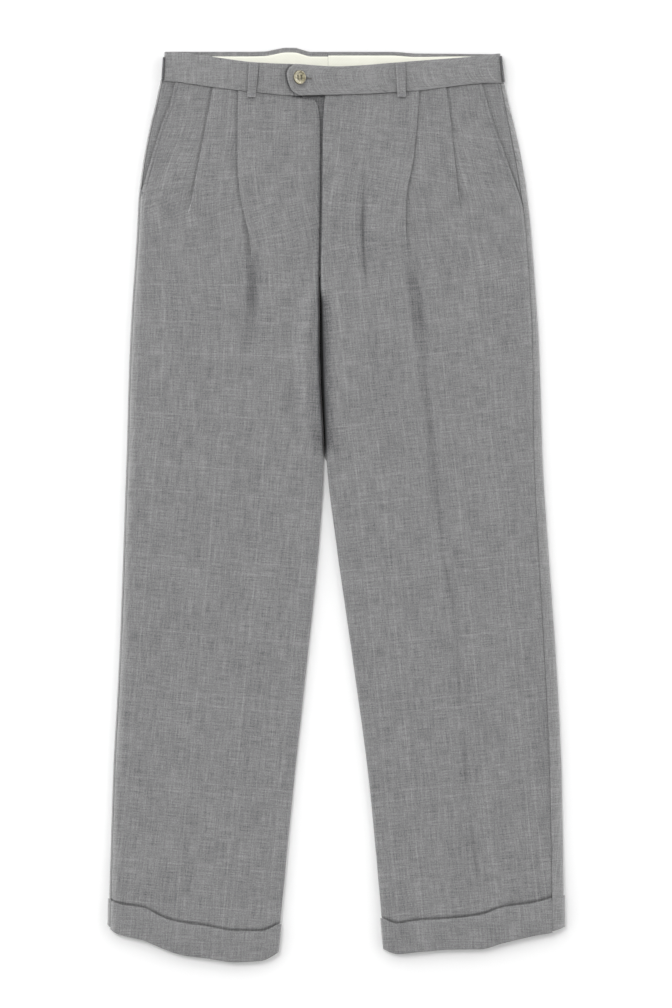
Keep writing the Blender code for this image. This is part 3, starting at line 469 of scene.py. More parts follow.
RIGHT_FINE_CREASES = (
    (212, -103.2, -100, 370, -105, 13.5, -2.50),
    (212, -118, -115, 380, -122, 9, 1.20),
    (212, -87, -84, 380, -89, 9, 0.45),
    (330, -104, -108, 440, -112, 9, -0.70),
    (800, -259, -248, 880, -244, 7, 0.45),
    (880, -246, -216, 1030, -204, 8, 0.35),
    (870, -262, -258, 940, -256, 6, -0.45),
    (900, -181, -179, 1040, -178, 5, -0.35),
    (330, -40, -46, 470, -52, 10, -0.25),
    (500, -150, -156, 640, -160, 11, -0.22),
    (640, -200, -206, 800, -208, 12, -0.25),
    (240, -200, -206, 330, -210, 10, -0.25),
    (720, -100, -108, 900, -118, 10, -0.22),
    (430, -190, -196, 560, -200, 12, -0.20),
)

# Creases that run across a front: the x and drop of each end, how far they reach up and down, and
# their depth.
LEFT_CROSS_CREASES = (
    (20, 148, 78, 152, 5, -0.25),
    (40, 330, 96, 318, 7, -0.30),
    (120, 236, 178, 214, 8, -0.35),
    (136, 187, 172, 204, 5, -0.50),
    (106, 198, 134, 229, 6, -0.70),
    (-8, 392, 60, 372, 9, -0.35),
    (150, 452, 236, 444, 9, -0.20),
    (60, 700, 150, 712, 10, -0.18),
)
RIGHT_CROSS_CREASES = (
    (-92, 77, -24, 77, 4, -0.60),
    (-176, 229, -134, 208, 6, -0.45),
    (-143, 206, -134, 212, 4, -0.80),
    (-90, 352, -26, 384, 9, -0.35),
    (-230, 300, -170, 312, 9, -0.25),
    (-220, 560, -130, 552, 11, -0.18),
    (-250, 890, -206, 936, 7, -0.30),
)

# Soft waves over the whole cloth: their height, how far apart they come across and down, and where
# they start.
RIPPLES = (
    (0.10, 71.0, 190.0, 0.3),
    (0.07, 43.0, -260.0, 1.9),
    (0.06, -97.0, 83.0, 4.1),
    (0.05, 33.0, 61.0, 2.6),
    (0.05, -27.0, 410.0, 5.2),
)

# Creases of each back, which rise off the surface that it lies on.
LEFT_BACK_CREASES = (
    (110, 60, 66, 330, 84, 22, 0.8),
    (180, 140, 132, 420, 120, 20, 0.7),
    (400, 118, 126, 760, 146, 16, 0.9),
    (760, 146, 156, 1040, 172, 14, 0.8),
    (300, 200, 206, 620, 214, 24, 0.6),
    (640, 60, 74, 900, 90, 18, 0.5),
)
RIGHT_BACK_CREASES = (
    (110, -84, -92, 350, -104, 22, 0.8),
    (200, -160, -150, 430, -136, 22, 0.7),
    (420, -128, -138, 780, -158, 16, 0.9),
    (780, -158, -166, 1050, -176, 14, 0.8),
    (320, -216, -214, 600, -222, 22, 0.6),
    (600, -70, -84, 880, -100, 20, 0.5),
)

SEAM_DIP = 0.5
SEAM_DIP_WIDTH = 1.9
WAIST_SEAM_DIP = 0.3
WAIST_SEAM_WIDTH = 2.0
TAB_SHADOW_DIP = 2.5
TAB_SHADOW_WIDTH = 5.4
TAB_SHADOW_X = -33.0
TAB_SHADOW_REACH = 26.0
TOPSTITCH_INSET = 4.4
TOPSTITCH_DIP = 0.45
TOPSTITCH_WIDTH = 1.7
CUFF_SHADOW_DIP = 1.8
CUFF_SHADOW_WIDTH = 3.2
CUFF_SHADOW_ABOVE = 1.0


class Leg:
    """One leg's outlines, folds and surfaces, as functions of drop and place across."""

    def __init__(self, side, edges, roll, hem, pleats, creases, cross_creases, back_creases):
        self.side = side
        self.toward_side = TOWARD_SIDE[side]
        self.edges = edges
        self.roll = roll
        self.hem = hem
        self.pleats = pleats
        self.creases = creases
        self.cross_creases = cross_creases
        self.back_creases = back_creases

    def width(self, drop):
        return np.abs(self.edges.at("outer", drop) - self.edges.at("inner", drop))

    def x_at(self, across, drop):
        """World x of a place that is so far across from the leg's inner outline."""
        return self.edges.at("inner", drop) + self.toward_side * across

    def across_at(self, x, drop):
        return (x - self.edges.at("inner", drop)) * self.toward_side

    def nose(self, drop):
        """Height at which the inner fold turns under. Above the crotch it is the fly's edge."""
        legs_part = ease((drop - CROTCH_DROP + CROTCH_BLEND) / CROTCH_BLEND)
        clear_of_shield = LAYER + SHIELD_CLEARANCE
        return HEIGHTS.at("lower", drop) + mix(clear_of_shield, FOLD_NOSE, legs_part)

    def upper(self, across, drop, out=0.0):
        """Height of the upper wall. Both its edges turn down to a nose. out moves it outwards."""
        x = self.x_at(across, drop)
        top = HEIGHTS.at("upper", drop) + crease_lift(self.creases, x, drop)
        top = top + cross_lift(self.cross_creases, x, drop) + ripple(x, drop)
        top = top + self.fly_lift(across, drop) + self.mouth_lift(across, drop)
        top = top + self.edge_roll(across, drop) + out
        soft = self.edges.at("soft", drop) + out
        inner_nose = self.nose(drop)
        outer_nose = HEIGHTS.at("lower", drop) + FOLD_NOSE
        from_inner = across - HALF_WALL + out
        from_outer = self.width(drop) - across - HALF_WALL + out
        inner_share = round_profile(from_inner / soft, INNER_SQUARENESS[self.side])
        side_share = round_profile(from_outer / (OUTER_FOLD_WIDTH[self.side] + out))
        return mix(outer_nose, mix(inner_nose, top, inner_share), side_share)

    def lower(self, across, drop, out=0.0):
        """Height of the lower wall, which is flat up to its folds but for a few soft creases."""
        x = self.x_at(across, drop)
        flat = HEIGHTS.at("lower", drop) - out + crease_lift(self.back_creases, x, drop)
        nose = HEIGHTS.at("lower", drop) + FOLD_NOSE
        from_outer = self.width(drop) - across - HALF_WALL + out
        return mix(nose, flat, round_profile(from_outer / (LOWER_FOLD_WIDTH + out)))

    def fly_lift(self, across, drop):
        """The left front climbs over the right one at the top of the fly."""
        if self.side == "right":
            return 0.0
        start, end = FLY_CLIMB_DROPS
        return FLY_CLIMB * bell(across / FLY_CLIMB_WIDTH) * (1 - ease((drop - start) / (end - start)))

    def edge_roll(self, across, drop):
        """The folded inner edge springs up into a roll."""
        from_top = across - ROLL_PLACE * self.edges.at("soft", drop)
        return self.roll.at("rise", drop) * bell(from_top / self.roll.at("width", drop))

    def opening(self, drop):
        """How far the pocket's mouth stands open, from 0 where it has closed to 1."""
        wide = self.edges.at("mouth", drop) - self.edges.at("seam", drop)
        return ease(wide / MOUTH_LIFT_OPENING)

    def mouth_lift(self, across, drop):
        """The pocket's mouth stands a little off the facing."""
        away = self.width(drop) - self.edges.at("mouth", drop) - across
        return MOUTH_LIFT * self.opening(drop) * bell(away / MOUTH_LIFT_WIDTH)

    def shade(self, across, drop):
        """Painted shade: above 0 deep in the folds, and below 0 a painted highlight on the outer folds."""
        share, width = OUTER_FOLD_HIGHLIGHT[self.side]
        painted_highlight = share * (1 - ease((self.width(drop) - across) / width))
        start, end, _ = LEGS_MEET
        down = np.clip((drop - start) / (end - start), 0.0, 1.0)
        inside = 0.0
        for share, top_width, width in GAP_SHADE[self.side]:
            inside = inside + share * (1 - ease(across / mix(top_width, width, down)))
        share, width = FLY_SHADE[self.side]
        at_fly = share * (1 - ease(across / width)) * window(drop, *FLY_SHADE_DROPS)
        x = self.x_at(across, drop)
        if self.side == "right":
            end, fade = TAB_SHADE_END
            under_tab = bell((x - TAB_SHADOW_X) / TAB_SHADOW_REACH) * (1 - ease((drop - end) / fade))
            at_fly = at_fly + TAB_SHADE * under_tab
        troughs = np.maximum(-crease_lift(self.creases, x, drop), 0.0)
        return window(drop, *LEGS_MEET) * inside + at_fly + TROUGH_SHADE * troughs - painted_highlight

    def grain_line(self, drop):
        """World x of the front's grain line: the first pleat's edge, and the crease below it."""
        return self.pleats[0].at("x", drop)


def crease_lift(creases, x, drop):
    lift = np.zeros(np.broadcast(x, drop).shape)
    for top_drop, top_x, middle_x, bottom_drop, bottom_x, width, depth in creases:
        along = (drop - top_drop) / (bottom_drop - top_drop)
        line = through_three(top_x, middle_x, bottom_x, np.clip(along, 0.0, 1.0))
        lift = lift + depth * bell(2 * along - 1) * bell((x - line) / width)
    return lift


def cross_lift(creases, x, drop):
    lift = np.zeros(np.broadcast(x, drop).shape)
    for left_x, left_drop, right_x, right_drop, width, depth in creases:
        along = (x - left_x) / (right_x - left_x)
        line = mix(left_drop, right_drop, along)
        lift = lift + depth * bell(2 * along - 1) * bell((drop - line) / width)
    return lift


def ripple(x, drop):
    lift = np.zeros(np.broadcast(x, drop).shape)
    for height, across, down, start in RIPPLES:
        lift = lift + height * np.sin(2 * math.pi * (x / across + drop / down) + start)
    return lift


LEFT = Leg(
    "left", LEFT_EDGES, LEFT_ROLL, LEFT_HEM, LEFT_PLEATS,
    LEFT_CREASES + LEFT_FINE_CREASES, LEFT_CROSS_CREASES, LEFT_BACK_CREASES,
)
RIGHT = Leg(
    "right", RIGHT_EDGES, RIGHT_ROLL, RIGHT_HEM, RIGHT_PLEATS,
    RIGHT_CREASES + RIGHT_FINE_CREASES, RIGHT_CROSS_CREASES, RIGHT_BACK_CREASES,
)


class Pleat:
    """Shape of one pleat at each drop, in the leg's own measure across.

    The cloth runs outwards to the fold's edge, bends back under itself, and bends out again.
    """

    def __init__(self, leg, table, drop):
        self.angle = np.maximum(table.at("turn", drop), LEAST_TURN) * math.pi
        self.depth = np.maximum(table.at("depth", drop), LEAST_DEPTH)
        self.reach = table.at("reach", drop)
        self.radius = PLEAT_BEND * math.pi / self.angle
        self.edge = leg.across_at(table.at("x", drop), drop)
        reach = self.radius * np.sin(np.minimum(self.angle, math.pi / 2))
        self.start = self.edge - HALF_WALL - reach
        bends_end = self.start + 2 * self.radius * np.sin(self.angle) + self.depth * np.cos(self.angle)
        self.passed = np.maximum(self.edge + PLEAT_PLATEAU[1], bends_end + LEAST_STEP)
        self.fall = 2 * self.radius * (1 - np.cos(self.angle)) + self.depth * np.sin(self.angle)
        self.fall = self.fall * ease(table.at("turn", drop) / FULL_FALL_TURN)
        self.passed_reach = mix(self.reach, PASSED_REACH, table.at("turn", drop))

    def bend_point(self, bend, share):
        """Place and lift of a point of the first or the second bend."""
        if bend == 1:
            across = self.radius * np.sin(share * self.angle)
            lift = -self.radius * (1 - np.cos(share * self.angle))
        else:
            left = self.angle * (1 - share)
            across = 2 * self.radius * np.sin(self.angle) - self.radius * np.sin(left)
            across = across + self.depth * np.cos(self.angle)
            lift = -self.fall_of(share)
        return self.start + across, self.fall / 2 + np.maximum(lift, -self.fall)

    def fall_of(self, share):
        left = self.angle * (1 - share)
        first = self.radius * (1 - np.cos(self.angle)) + self.depth * np.sin(self.angle)
        return first + self.radius * (np.cos(left) - np.cos(self.angle))

    def lift_at(self, across, passed):
        """Lift that the pleat gives the cloth beside it: up before the fold, down after it."""
        if passed:
            away = across - self.passed
            return -self.fall / 2 * bell(np.maximum(away, 0.0) / self.passed_reach)
        away = self.start - self.depth - PLEAT_PLATEAU[0] - across
        return self.fall / 2 * bell(np.maximum(away, 0.0) / self.reach)


# ---------------------------------------------------------------------------------------------
# Grids of the cloth pieces, as x, drop and height in millimetres
# ---------------------------------------------------------------------------------------------

TOP_ROWS = (50, 50.5, 51.1, 51.8, 52.7, 54, 56)
CUFF_LINE_ROWS = np.linspace(1027, 1042, 14)
HEM_ROWS = (1048, 1056, 1064, 1070)
FRONT_ROWS = np.concatenate(
    (TOP_ROWS, np.linspace(58.6, 340, 88), np.linspace(344, 1023, 150), CUFF_LINE_ROWS, HEM_ROWS)
)
BACK_ROWS = np.concatenate(
    (np.linspace(50, 470, 64), np.linspace(474, 504, 9), np.linspace(511, 1070, 76))
)
CORNER_ANGLES = tuple(range(0, 91, 9))
BEND_STEPS = (0.0, 0.17, 0.34, 0.5, 0.67, 0.83, 1.0)
SIDE_STEPS = (16.0, 12.0, 9.0, 7.2, 6.0, 5.2, 4.4, 3.6, 2.8, 1.8, 1.1, 0.5, 0.0)
BETWEEN_SHARE = 0.5
# How often x and drop are worked out from each other before they have settled.
PANEL_TURNS = 3
EDGE_TURNS = 4


def evenly(first, last, count):
    return [float(share) for share in np.linspace(first, last, count)]


BEFORE_SHARES = evenly(0.03, 0.97, 38)
NEAR_SHARES = evenly(1.0, 0.0, 8)
BEYOND_SHARES = evenly(0.0, 0.94, 11)
AFTER_SHARES = evenly(0.0, 0.96, 24)


def front_columns():
    """The places across a front, from its inner edge to its side, as (kind, values) pairs."""
    columns = [("corner", math.radians(angle)) for angle in CORNER_ANGLES]
    columns += [("before", share) for share in BEFORE_SHARES]
    for pleat in (0, 1):
        columns += [("near", (pleat, share)) for share in NEAR_SHARES]
        columns += [("bend", (pleat, bend, share)) for bend in (1, 2) for share in BEND_STEPS]
        columns += [("beyond", (pleat, share**2)) for share in BEYOND_SHARES]
    columns += [("after", share) for share in AFTER_SHARES]
    columns += [("side", step) for step in SIDE_STEPS]
    return columns


def front_section(leg, drop):
    """Place across and height of every column of a front, for a grid of drops."""
    across = np.zeros(drop.shape)
    height = np.zeros(drop.shape)
    columns = front_columns()
    kinds = [kind for kind, _ in columns]
    first_free = kinds.index("before")
    last_free = kinds.index("side")
    for index, (kind, value) in enumerate(columns):
        at = drop[:, index]
        pleats = [Pleat(leg, table, at) for table in leg.pleats]
        corner_end = HALF_WALL + leg.edges.at("soft", at)
        side_end = leg.width(at) - leg.edges.at("mouth", at) - SEAM_GAP / 2
        side_start = side_end - SIDE_STEPS[0]
        lift = 0.0
        passed = 0
        if kind == "corner":
            place = HALF_WALL + leg.edges.at("soft", at) * (1 - math.cos(value))
        elif kind == "before":
            near = pleats[0].start - pleats[0].depth - PLEAT_PLATEAU[0] - pleats[0].reach
            place = mix(corner_end, near, value)
        elif kind == "near":
            passed = value[0]
            pleat = pleats[value[0]]
            room = pleat.reach
            if value[0] == 1:
                room = pleat.start - pleat.depth - PLEAT_PLATEAU[0] - pleats[0].passed
            share = value[1] * (1.0 if value[0] == 0 else BETWEEN_SHARE)
            place = pleat.start - pleat.depth - PLEAT_PLATEAU[0] - room * share
        elif kind == "bend":
            passed = value[0]
            place, lift = pleats[value[0]].bend_point(value[1], value[2])
        elif kind == "beyond":
            passed = value[0] + 1
            pleat = pleats[value[0]]
            room = pleat.reach
            if value[0] == 0:
                room = pleats[1].start - pleats[1].depth - PLEAT_PLATEAU[0] - pleat.passed
                room = room * BETWEEN_SHARE
            place = pleat.passed + room * value[1]
        elif kind == "after":
            passed = 2
            place = mix(pleats[1].passed + pleats[1].reach, side_start, value)
        else:
            passed = 2
            place = side_end - value
            lift = lift - SEAM_DIP * bell(value / SEAM_DIP_WIDTH) * (1 - leg.opening(at))
            from_stitch = (value - TOPSTITCH_INSET) / TOPSTITCH_WIDTH
            lift = lift - TOPSTITCH_DIP * bell(from_stitch) * leg.opening(at)
        for number, pleat in enumerate(pleats):
            if kind == "bend" and number == value[0]:
                continue
            lift = lift + pleat.lift_at(place, number < passed)
        if first_free <= index < last_free:
            even_share = (index - first_free + 1) / (last_free - first_free + 1)
            even = mix(corner_end, side_start, even_share)
            start, end = RELAX_DROPS
            place = mix(place, even, ease((at - start) / (end - start)))
        from_seam = at - WAIST.at("front_seam", leg.x_at(place, at))
        lift = lift - WAIST_SEAM_DIP * bell(from_seam / WAIST_SEAM_WIDTH)
        if leg is RIGHT:
            under_tab = bell((leg.x_at(place, at) - TAB_SHADOW_X) / TAB_SHADOW_REACH)
            lift = lift - TAB_SHADOW_DIP * under_tab * bell(from_seam / TAB_SHADOW_WIDTH)
        cuff_line = leg.hem.at("top", leg.x_at(place, at))
        lift = lift - CUFF_SHADOW_DIP * bell((at - cuff_line + CUFF_SHADOW_ABOVE) / CUFF_SHADOW_WIDTH)
        across[:, index] = place
        height[:, index] = leg.upper(place, at) + lift
    return across, height


def row_drops(rows, x, top_line, hem_line):
    """Drops of a grid whose rows follow the waist seam at one end and the hem at the other."""
    rows = np.array(rows, float)[:, None]
    top_share = ease((TOP_ROW + TOP_FADE - rows) / TOP_FADE)
    hem_share = ease((rows - HEM_ROW + HEM_FADE) / HEM_FADE)
    return rows + (top_line(x) - TOP_ROW) * top_share + (hem_line(x) - HEM_ROW) * hem_share


def slanted_grid(leg, rows, columns, section, top_line, hem_line):
    """Points of a panel: the rows' slant depends on x and x on the drop, so it is settled in turns."""
    drop = np.repeat(np.array(rows, float)[:, None], columns, axis=1)
    for _ in range(PANEL_TURNS):
        across, _ = section(leg, drop)
        drop = row_drops(rows, leg.x_at(across, drop), top_line, hem_line)
    across, height = section(leg, drop)
    return np.stack([leg.x_at(across, drop), drop, height], axis=-1)


def front_points(leg):
    return slanted_grid(
        leg, FRONT_ROWS, len(front_columns()), front_section,
        lambda x: WAIST.at("front_seam", x) + SEAM_GAP / 2,
        lambda x: leg.hem.at("hem", x) - LAYER - HEM_CLEARANCE,
    )


LOWER_CORNER_ANGLES = (30, 40, 50, 60, 70, 80, 90)
BACK_SHARES = evenly(0.03, 0.97, 44)
SIDE_FOLD_SHARES = (0.0, 0.12, 0.25, 0.37, 0.5, 0.62, 0.74, 0.84, 0.93, 0.97, 1.0)
SEAM_COLUMN_REACH = 4.8
OVER_DIP_WIDTH = 5.0
ALLOWANCE_DROPS = (270.0, 489.0, 9.0)
BACK_MARGIN = 6.0


def centre_back(drop):
    """World x of the centre-back seam, down to the crotch and on between the legs."""
    between_legs = (LEFT.edges.at("inner", drop) + RIGHT.edges.at("inner", drop)) / 2
    share = ease((drop - WAIST_DROP) / (CROTCH_DROP - WAIST_DROP))
    return mix(CENTRE_BACK_AT_WAIST, between_legs, share)


def seam_allowance(drop):
    """The left leg's inseam allowance, which lies under the right leg's edge while the legs touch."""
    gap = LEFT.edges.at("inner", drop) - RIGHT.edges.at("inner", drop)
    tuck = (gap + HALF_WALL) * window(drop, *ALLOWANCE_DROPS)
    return tuck / math.cos(math.radians(LOWER_CORNER_ANGLES[0]))


def back_columns():
    columns = [("corner", math.radians(angle)) for angle in LOWER_CORNER_ANGLES]
    columns += [("flat", share) for share in BACK_SHARES]
    columns += [("under", math.radians(angle)) for angle in reversed(LOWER_CORNER_ANGLES)]
    columns += [("over", share) for share in SIDE_FOLD_SHARES]
    return columns


def back_section(leg, drop, out=0.0):
    """Place across and height of every column of a back, for a grid of drops."""
    across = np.zeros(drop.shape)
    height = np.zeros(drop.shape)
    for index, (kind, value) in enumerate(back_columns()):
        at = drop[:, index]
        width = leg.width(at)
        fold = LOWER_FOLD_WIDTH + out
        if kind == "corner":
            legs_part = ease((at - CROTCH_DROP + CROTCH_BLEND) / CROTCH_BLEND)
            folded = HALF_WALL - out + fold * (1 - math.cos(value))
            seam = leg.across_at(centre_back(at), at) + SEAM_GAP / 2
            from_seam = SEAM_COLUMN_REACH * index / (len(LOWER_CORNER_ANGLES) - 1)
            flat = seam + from_seam
            place = mix(flat, folded, legs_part)
            rise = (FOLD_NOSE + out) * (1 - math.sin(value)) * legs_part
            rise = rise + SEAM_DIP * bell(from_seam / SEAM_DIP_WIDTH) * (1 - legs_part)
            if leg is LEFT:
                tuck = seam_allowance(at) * math.cos(value)
                place = place - tuck
                rise = rise * (1 - np.minimum(tuck, 1.0))
            tall = HEIGHTS.at("lower", at) - out + rise
        elif kind == "flat":
            place = BACK_MARGIN + (width - 2 * BACK_MARGIN) * value
            tall = leg.lower(place, at, out)
        elif kind == "under":
            place = width - HALF_WALL + out - fold * (1 - math.cos(value))
            tall = leg.lower(place, at, out)
        else:
            reach = leg.edges.at("seam", at) - HALF_WALL + out - SEAM_GAP / 2
            from_nose = reach * (1 - math.cos(value * math.pi / 2))
            place = width - HALF_WALL + out - from_nose
            from_seam = (reach - from_nose) / SEAM_DIP_WIDTH
            tall = leg.upper(place, at, out) - SEAM_DIP * bell(from_seam) * (1 - leg.opening(at))
            from_cuff = at - leg.hem.at("top", leg.x_at(place, at)) + CUFF_SHADOW_ABOVE
            inside = ease(from_nose / OVER_DIP_WIDTH) * (np.asarray(out) == 0)
            tall = tall - CUFF_SHADOW_DIP * bell(from_cuff / CUFF_SHADOW_WIDTH) * inside
        across[:, index] = place
        height[:, index] = tall
    return across, height


def back_points(leg):
    return slanted_grid(
        leg, BACK_ROWS, len(back_columns()), back_section,
        lambda x: WAIST.at("back_seam", x) + SEAM_GAP / 2,
        lambda x: leg.hem.at("hem", x) - LAYER - HEM_CLEARANCE - BACK_HEM_SHORT,
    )


CUFF_ROWS = (0.0, 0.03, 0.07, 0.14, 0.23, 0.33, 0.44, 0.55, 0.66, 0.77, 0.86, 0.93, 0.97, 1.0)
LIP_ANGLES = (15, 30, 45, 60, 75, 90, 112, 135, 158, 180)
CUFF_MIDDLE = evenly(0.02, 0.98, 74)
CUFF_TOP_ROLL = 0.35
CUFF_TOP_ROLL_SHARE = 0.12


def cuff_profile(short):
    """Rows of a turn-up: down its outside, then round the hem's fold to the leg's own end.

    Each row is a share of the way from the top edge to the fold, a drop past it, and a distance out.
    """
    half = LAYER / 2
    rows = [(share, -half - short, LAYER) for share in CUFF_ROWS]
    for angle in LIP_ANGLES:
        turn = math.radians(angle)
        rows.append((1.0, -half - short + half * math.sin(turn), half + half * math.cos(turn)))
    return rows


def cuff_drop(leg, x, profile):
    return mix(leg.hem.at("top", x), leg.hem.at("hem", x) + profile[:, 1:2], profile[:, 0:1])


def cuff_columns():
    columns = [("corner", math.radians(angle)) for angle in CORNER_ANGLES]
    columns += [("middle", share) for share in CUFF_MIDDLE]
    columns += [("side", step) for step in SIDE_STEPS]
    return columns


def cuff_front_section(leg, drop, out):
    """Place across and height of every column of a turn-up's front half, for a grid of drops."""
    across = np.zeros(drop.shape)
    height = np.zeros(drop.shape)
    for index, (kind, value) in enumerate(cuff_columns()):
        at = drop[:, index]
        soft = leg.edges.at("soft", at) + out
        side_end = leg.width(at) - leg.edges.at("seam", at) - SEAM_GAP / 2
        corner_end = HALF_WALL - out + soft
        lift = 0.0
        if kind == "corner":
            place = HALF_WALL - out + soft * (1 - math.cos(value))
        elif kind == "middle":
            place = mix(corner_end, side_end - SIDE_STEPS[0], value)
        else:
            place = side_end - value
            lift = -SEAM_DIP * bell(value / SEAM_DIP_WIDTH)
        across[:, index] = place
        height[:, index] = leg.upper(place, at, out) + lift
    return across, height


def cuff_points(leg, section, columns, short):
    """A half of a turn-up, with its top edge rolled a little towards the leg."""
    profile = np.array(cuff_profile(short))
    out = profile[:, 2]
    drop = np.full((len(profile), columns), HEM_ROW)
    for _ in range(EDGE_TURNS):
        across, _ = section(leg, drop, out)
        drop = cuff_drop(leg, leg.x_at(across, drop), profile)
    across, height = section(leg, drop, out)
    points = np.stack([leg.x_at(across, drop), drop, height], axis=-1)
    roll = CUFF_TOP_ROLL * bell(np.array(CUFF_ROWS) / CUFF_TOP_ROLL_SHARE)
    if short:
        points[: len(CUFF_ROWS), : -len(SIDE_FOLD_SHARES), 2] += roll[:, None]
    else:
        points[: len(CUFF_ROWS), :, 2] -= roll[:, None]
    return points


def cuff_front_points(leg):
    return cuff_points(leg, cuff_front_section, len(cuff_columns()), 0.0)


def cuff_back_points(leg):
    return cuff_points(leg, back_section, len(back_columns()), BACK_HEM_SHORT)


FACING_UNDERLAP = 10.0
FACING_SINK = 1.6
FACING_CLIMB = 4.0
FACING_EDGE = 0.9
FACING_SEAM_GAP = SEAM_GAP + 0.05
FACING_OPEN_COLUMNS = evenly(0.1, 1.0, 12)
FACING_HIDDEN_COLUMNS = (1.5, 3.5, 6.0, FACING_UNDERLAP)
FACING_ROWS = 48
FACING_END_ROWS = {"left": 196.0, "right": 178.0}


def facing_points(leg):
    """The cloth inside a pocket's mouth: flush with the back at the side seam, and under the front."""
    rows = np.linspace(TOP_ROW, FACING_END_ROWS[leg.side], FACING_ROWS)
    columns = [("edge", 0.0), ("edge", 0.5), ("edge", 1.0)]
    columns += [("open", share) for share in FACING_OPEN_COLUMNS]
    columns += [("hidden", reach) for reach in FACING_HIDDEN_COLUMNS]
    points = np.zeros((len(rows), len(columns), 3))
    for index, (kind, value) in enumerate(columns):
        drop = rows.copy()
        for _ in range(EDGE_TURNS):
            seam_end = leg.width(drop) - leg.edges.at("seam", drop) - FACING_SEAM_GAP
            mouth_end = leg.width(drop) - leg.edges.at("mouth", drop)
            mouth_end = np.minimum(mouth_end, seam_end - 2 * FACING_EDGE)
            edge = FACING_EDGE / (seam_end - mouth_end)
            share = {"edge": edge * value, "open": mix(edge, 1.0, value), "hidden": 1.0}[kind]
            place = mix(seam_end, mouth_end, share)
            if kind == "hidden":
                place = place - value
            x = leg.x_at(place, drop)
            top_share = ease((TOP_ROW + TOP_FADE - rows) / TOP_FADE)
            drop = rows + (WAIST.at("front_seam", x) + SEAM_GAP / 2 - TOP_ROW) * top_share
        hidden_height = leg.upper(place, drop) - FACING_SINK
        flush_height = leg.upper(place, drop) - leg.mouth_lift(place, drop)
        opening = leg.edges.at("mouth", drop) - leg.edges.at("seam", drop)
        flush = (1 - share) * ease(opening / FACING_CLIMB)
        points[:, index] = np.stack([x, drop, mix(hidden_height, flush_height, flush)], axis=-1)
    return points


SHIELD_DROPS = (58.2, 266.0)
SHIELD_ROWS = 60
SHIELD_REACH = (-22.0, 18.0)
SHIELD_COLUMNS = 12
SHIELD_NARROWING = 0.65
SHIELD_NARROWS_FROM = 0.6
SHIELD_TOP_SHARE = 0.1
SHIELD_TOP_MIDDLE = -18.0
SHIELD_MOST_MIDDLE = -17.0
SHIELD_BELOW_SEAM = 1.0


def shield_points():
    """The strip under the fly's opening, from the waist seam to the end of the fly."""
    share = np.linspace(0, 1, SHIELD_ROWS)[:, None]
    offset = np.linspace(*SHIELD_REACH, SHIELD_COLUMNS)[None, :]
    drop = mix(*SHIELD_DROPS, share)
    narrowed = ease((share - SHIELD_NARROWS_FROM) / (1 - SHIELD_NARROWS_FROM))
    fly = (LEFT.edges.at("inner", drop) + RIGHT.edges.at("inner", drop)) / 2
    fly = np.where(share > SHIELD_TOP_SHARE, np.minimum(fly, SHIELD_MOST_MIDDLE), SHIELD_TOP_MIDDLE)
    x = fly + offset * (1 - SHIELD_NARROWING * narrowed)
    drop = np.maximum(drop, WAIST.at("front_seam", x) + SHIELD_BELOW_SEAM)
    return np.stack([x, drop, HEIGHTS.at("lower", drop) + LAYER], axis=-1)


BAND_SIDE = {"left": (197.0, 200.3), "right": (-205.6, -207.4)}
BAND_ROWS = np.array((0.0, 0.03, 0.07, 0.14, 0.22, 0.31, 0.4, 0.5, 0.6, 0.7, 0.78, 0.86, 0.92, 0.97, 1.0))
BAND_FOLD_ANGLES = tuple(range(90, -91, -12))
BAND_ENDS = {"left": (-58.6, 182.0, 180.0), "right": (-8.0, -192.0, -190.0)}
BAND_FRONT_COLUMNS = 170
BAND_END_CLOSENESS = 1.35
BAND_BACK_COLUMNS = 44
TAB_RAMP = (-7.0, 22.0)
TAB_EASE_WIDTH = 34.0
TAB_GROOVE = 1.4
TAB_GROOVE_WIDTH = 2.4
TAB_ROLL_WIDTH = 2.5
LOOP_GROOVE = 0.25
LOOP_GROOVE_WIDTH = 1.7
BAND_ROLL = 0.25
BAND_ROLL_SHARE = 0.09
BAND_DEPTH = 40.0
BAND_RIPPLE = 0.5

# How far the band's lower edge laps over the panels round the outer folds, and from where.
SIDE_OVERLAP = 0.9
SIDE_OVERLAP_START = 188.0
SIDE_OVERLAP_FADE = 8.0

# Front belt loops: the middle and the width at the top and at the lower end.
FRONT_LOOPS = {
    "left": {"x": (77.2, 79.0), "drop": (19.0, 59.8), "width": (11.4, 10.0)},
    "right": {"x": (-98.6, -101.4), "drop": (18.4, 59.6), "width": (11.8, 9.8)},
}
LOOP_EDGES = (-0.5, 0.5)


def band_drop(x, down, layer):
    seam = WAIST.at(layer + "_seam", x) - SEAM_GAP / 2
    seam = seam + SIDE_OVERLAP * ease((np.abs(x) - SIDE_OVERLAP_START) / SIDE_OVERLAP_FADE)
    return mix(WAIST.at(layer + "_top", x), seam, down)


def front_loop_at(side, name, down):
    """The x, drop or width of a front belt loop, so far down it."""
    return mix(*FRONT_LOOPS[side][name], down)


def from_loop_edge(side, x, down, edge):
    return x - front_loop_at(side, "x", down) - front_loop_at(side, "width", down) * edge


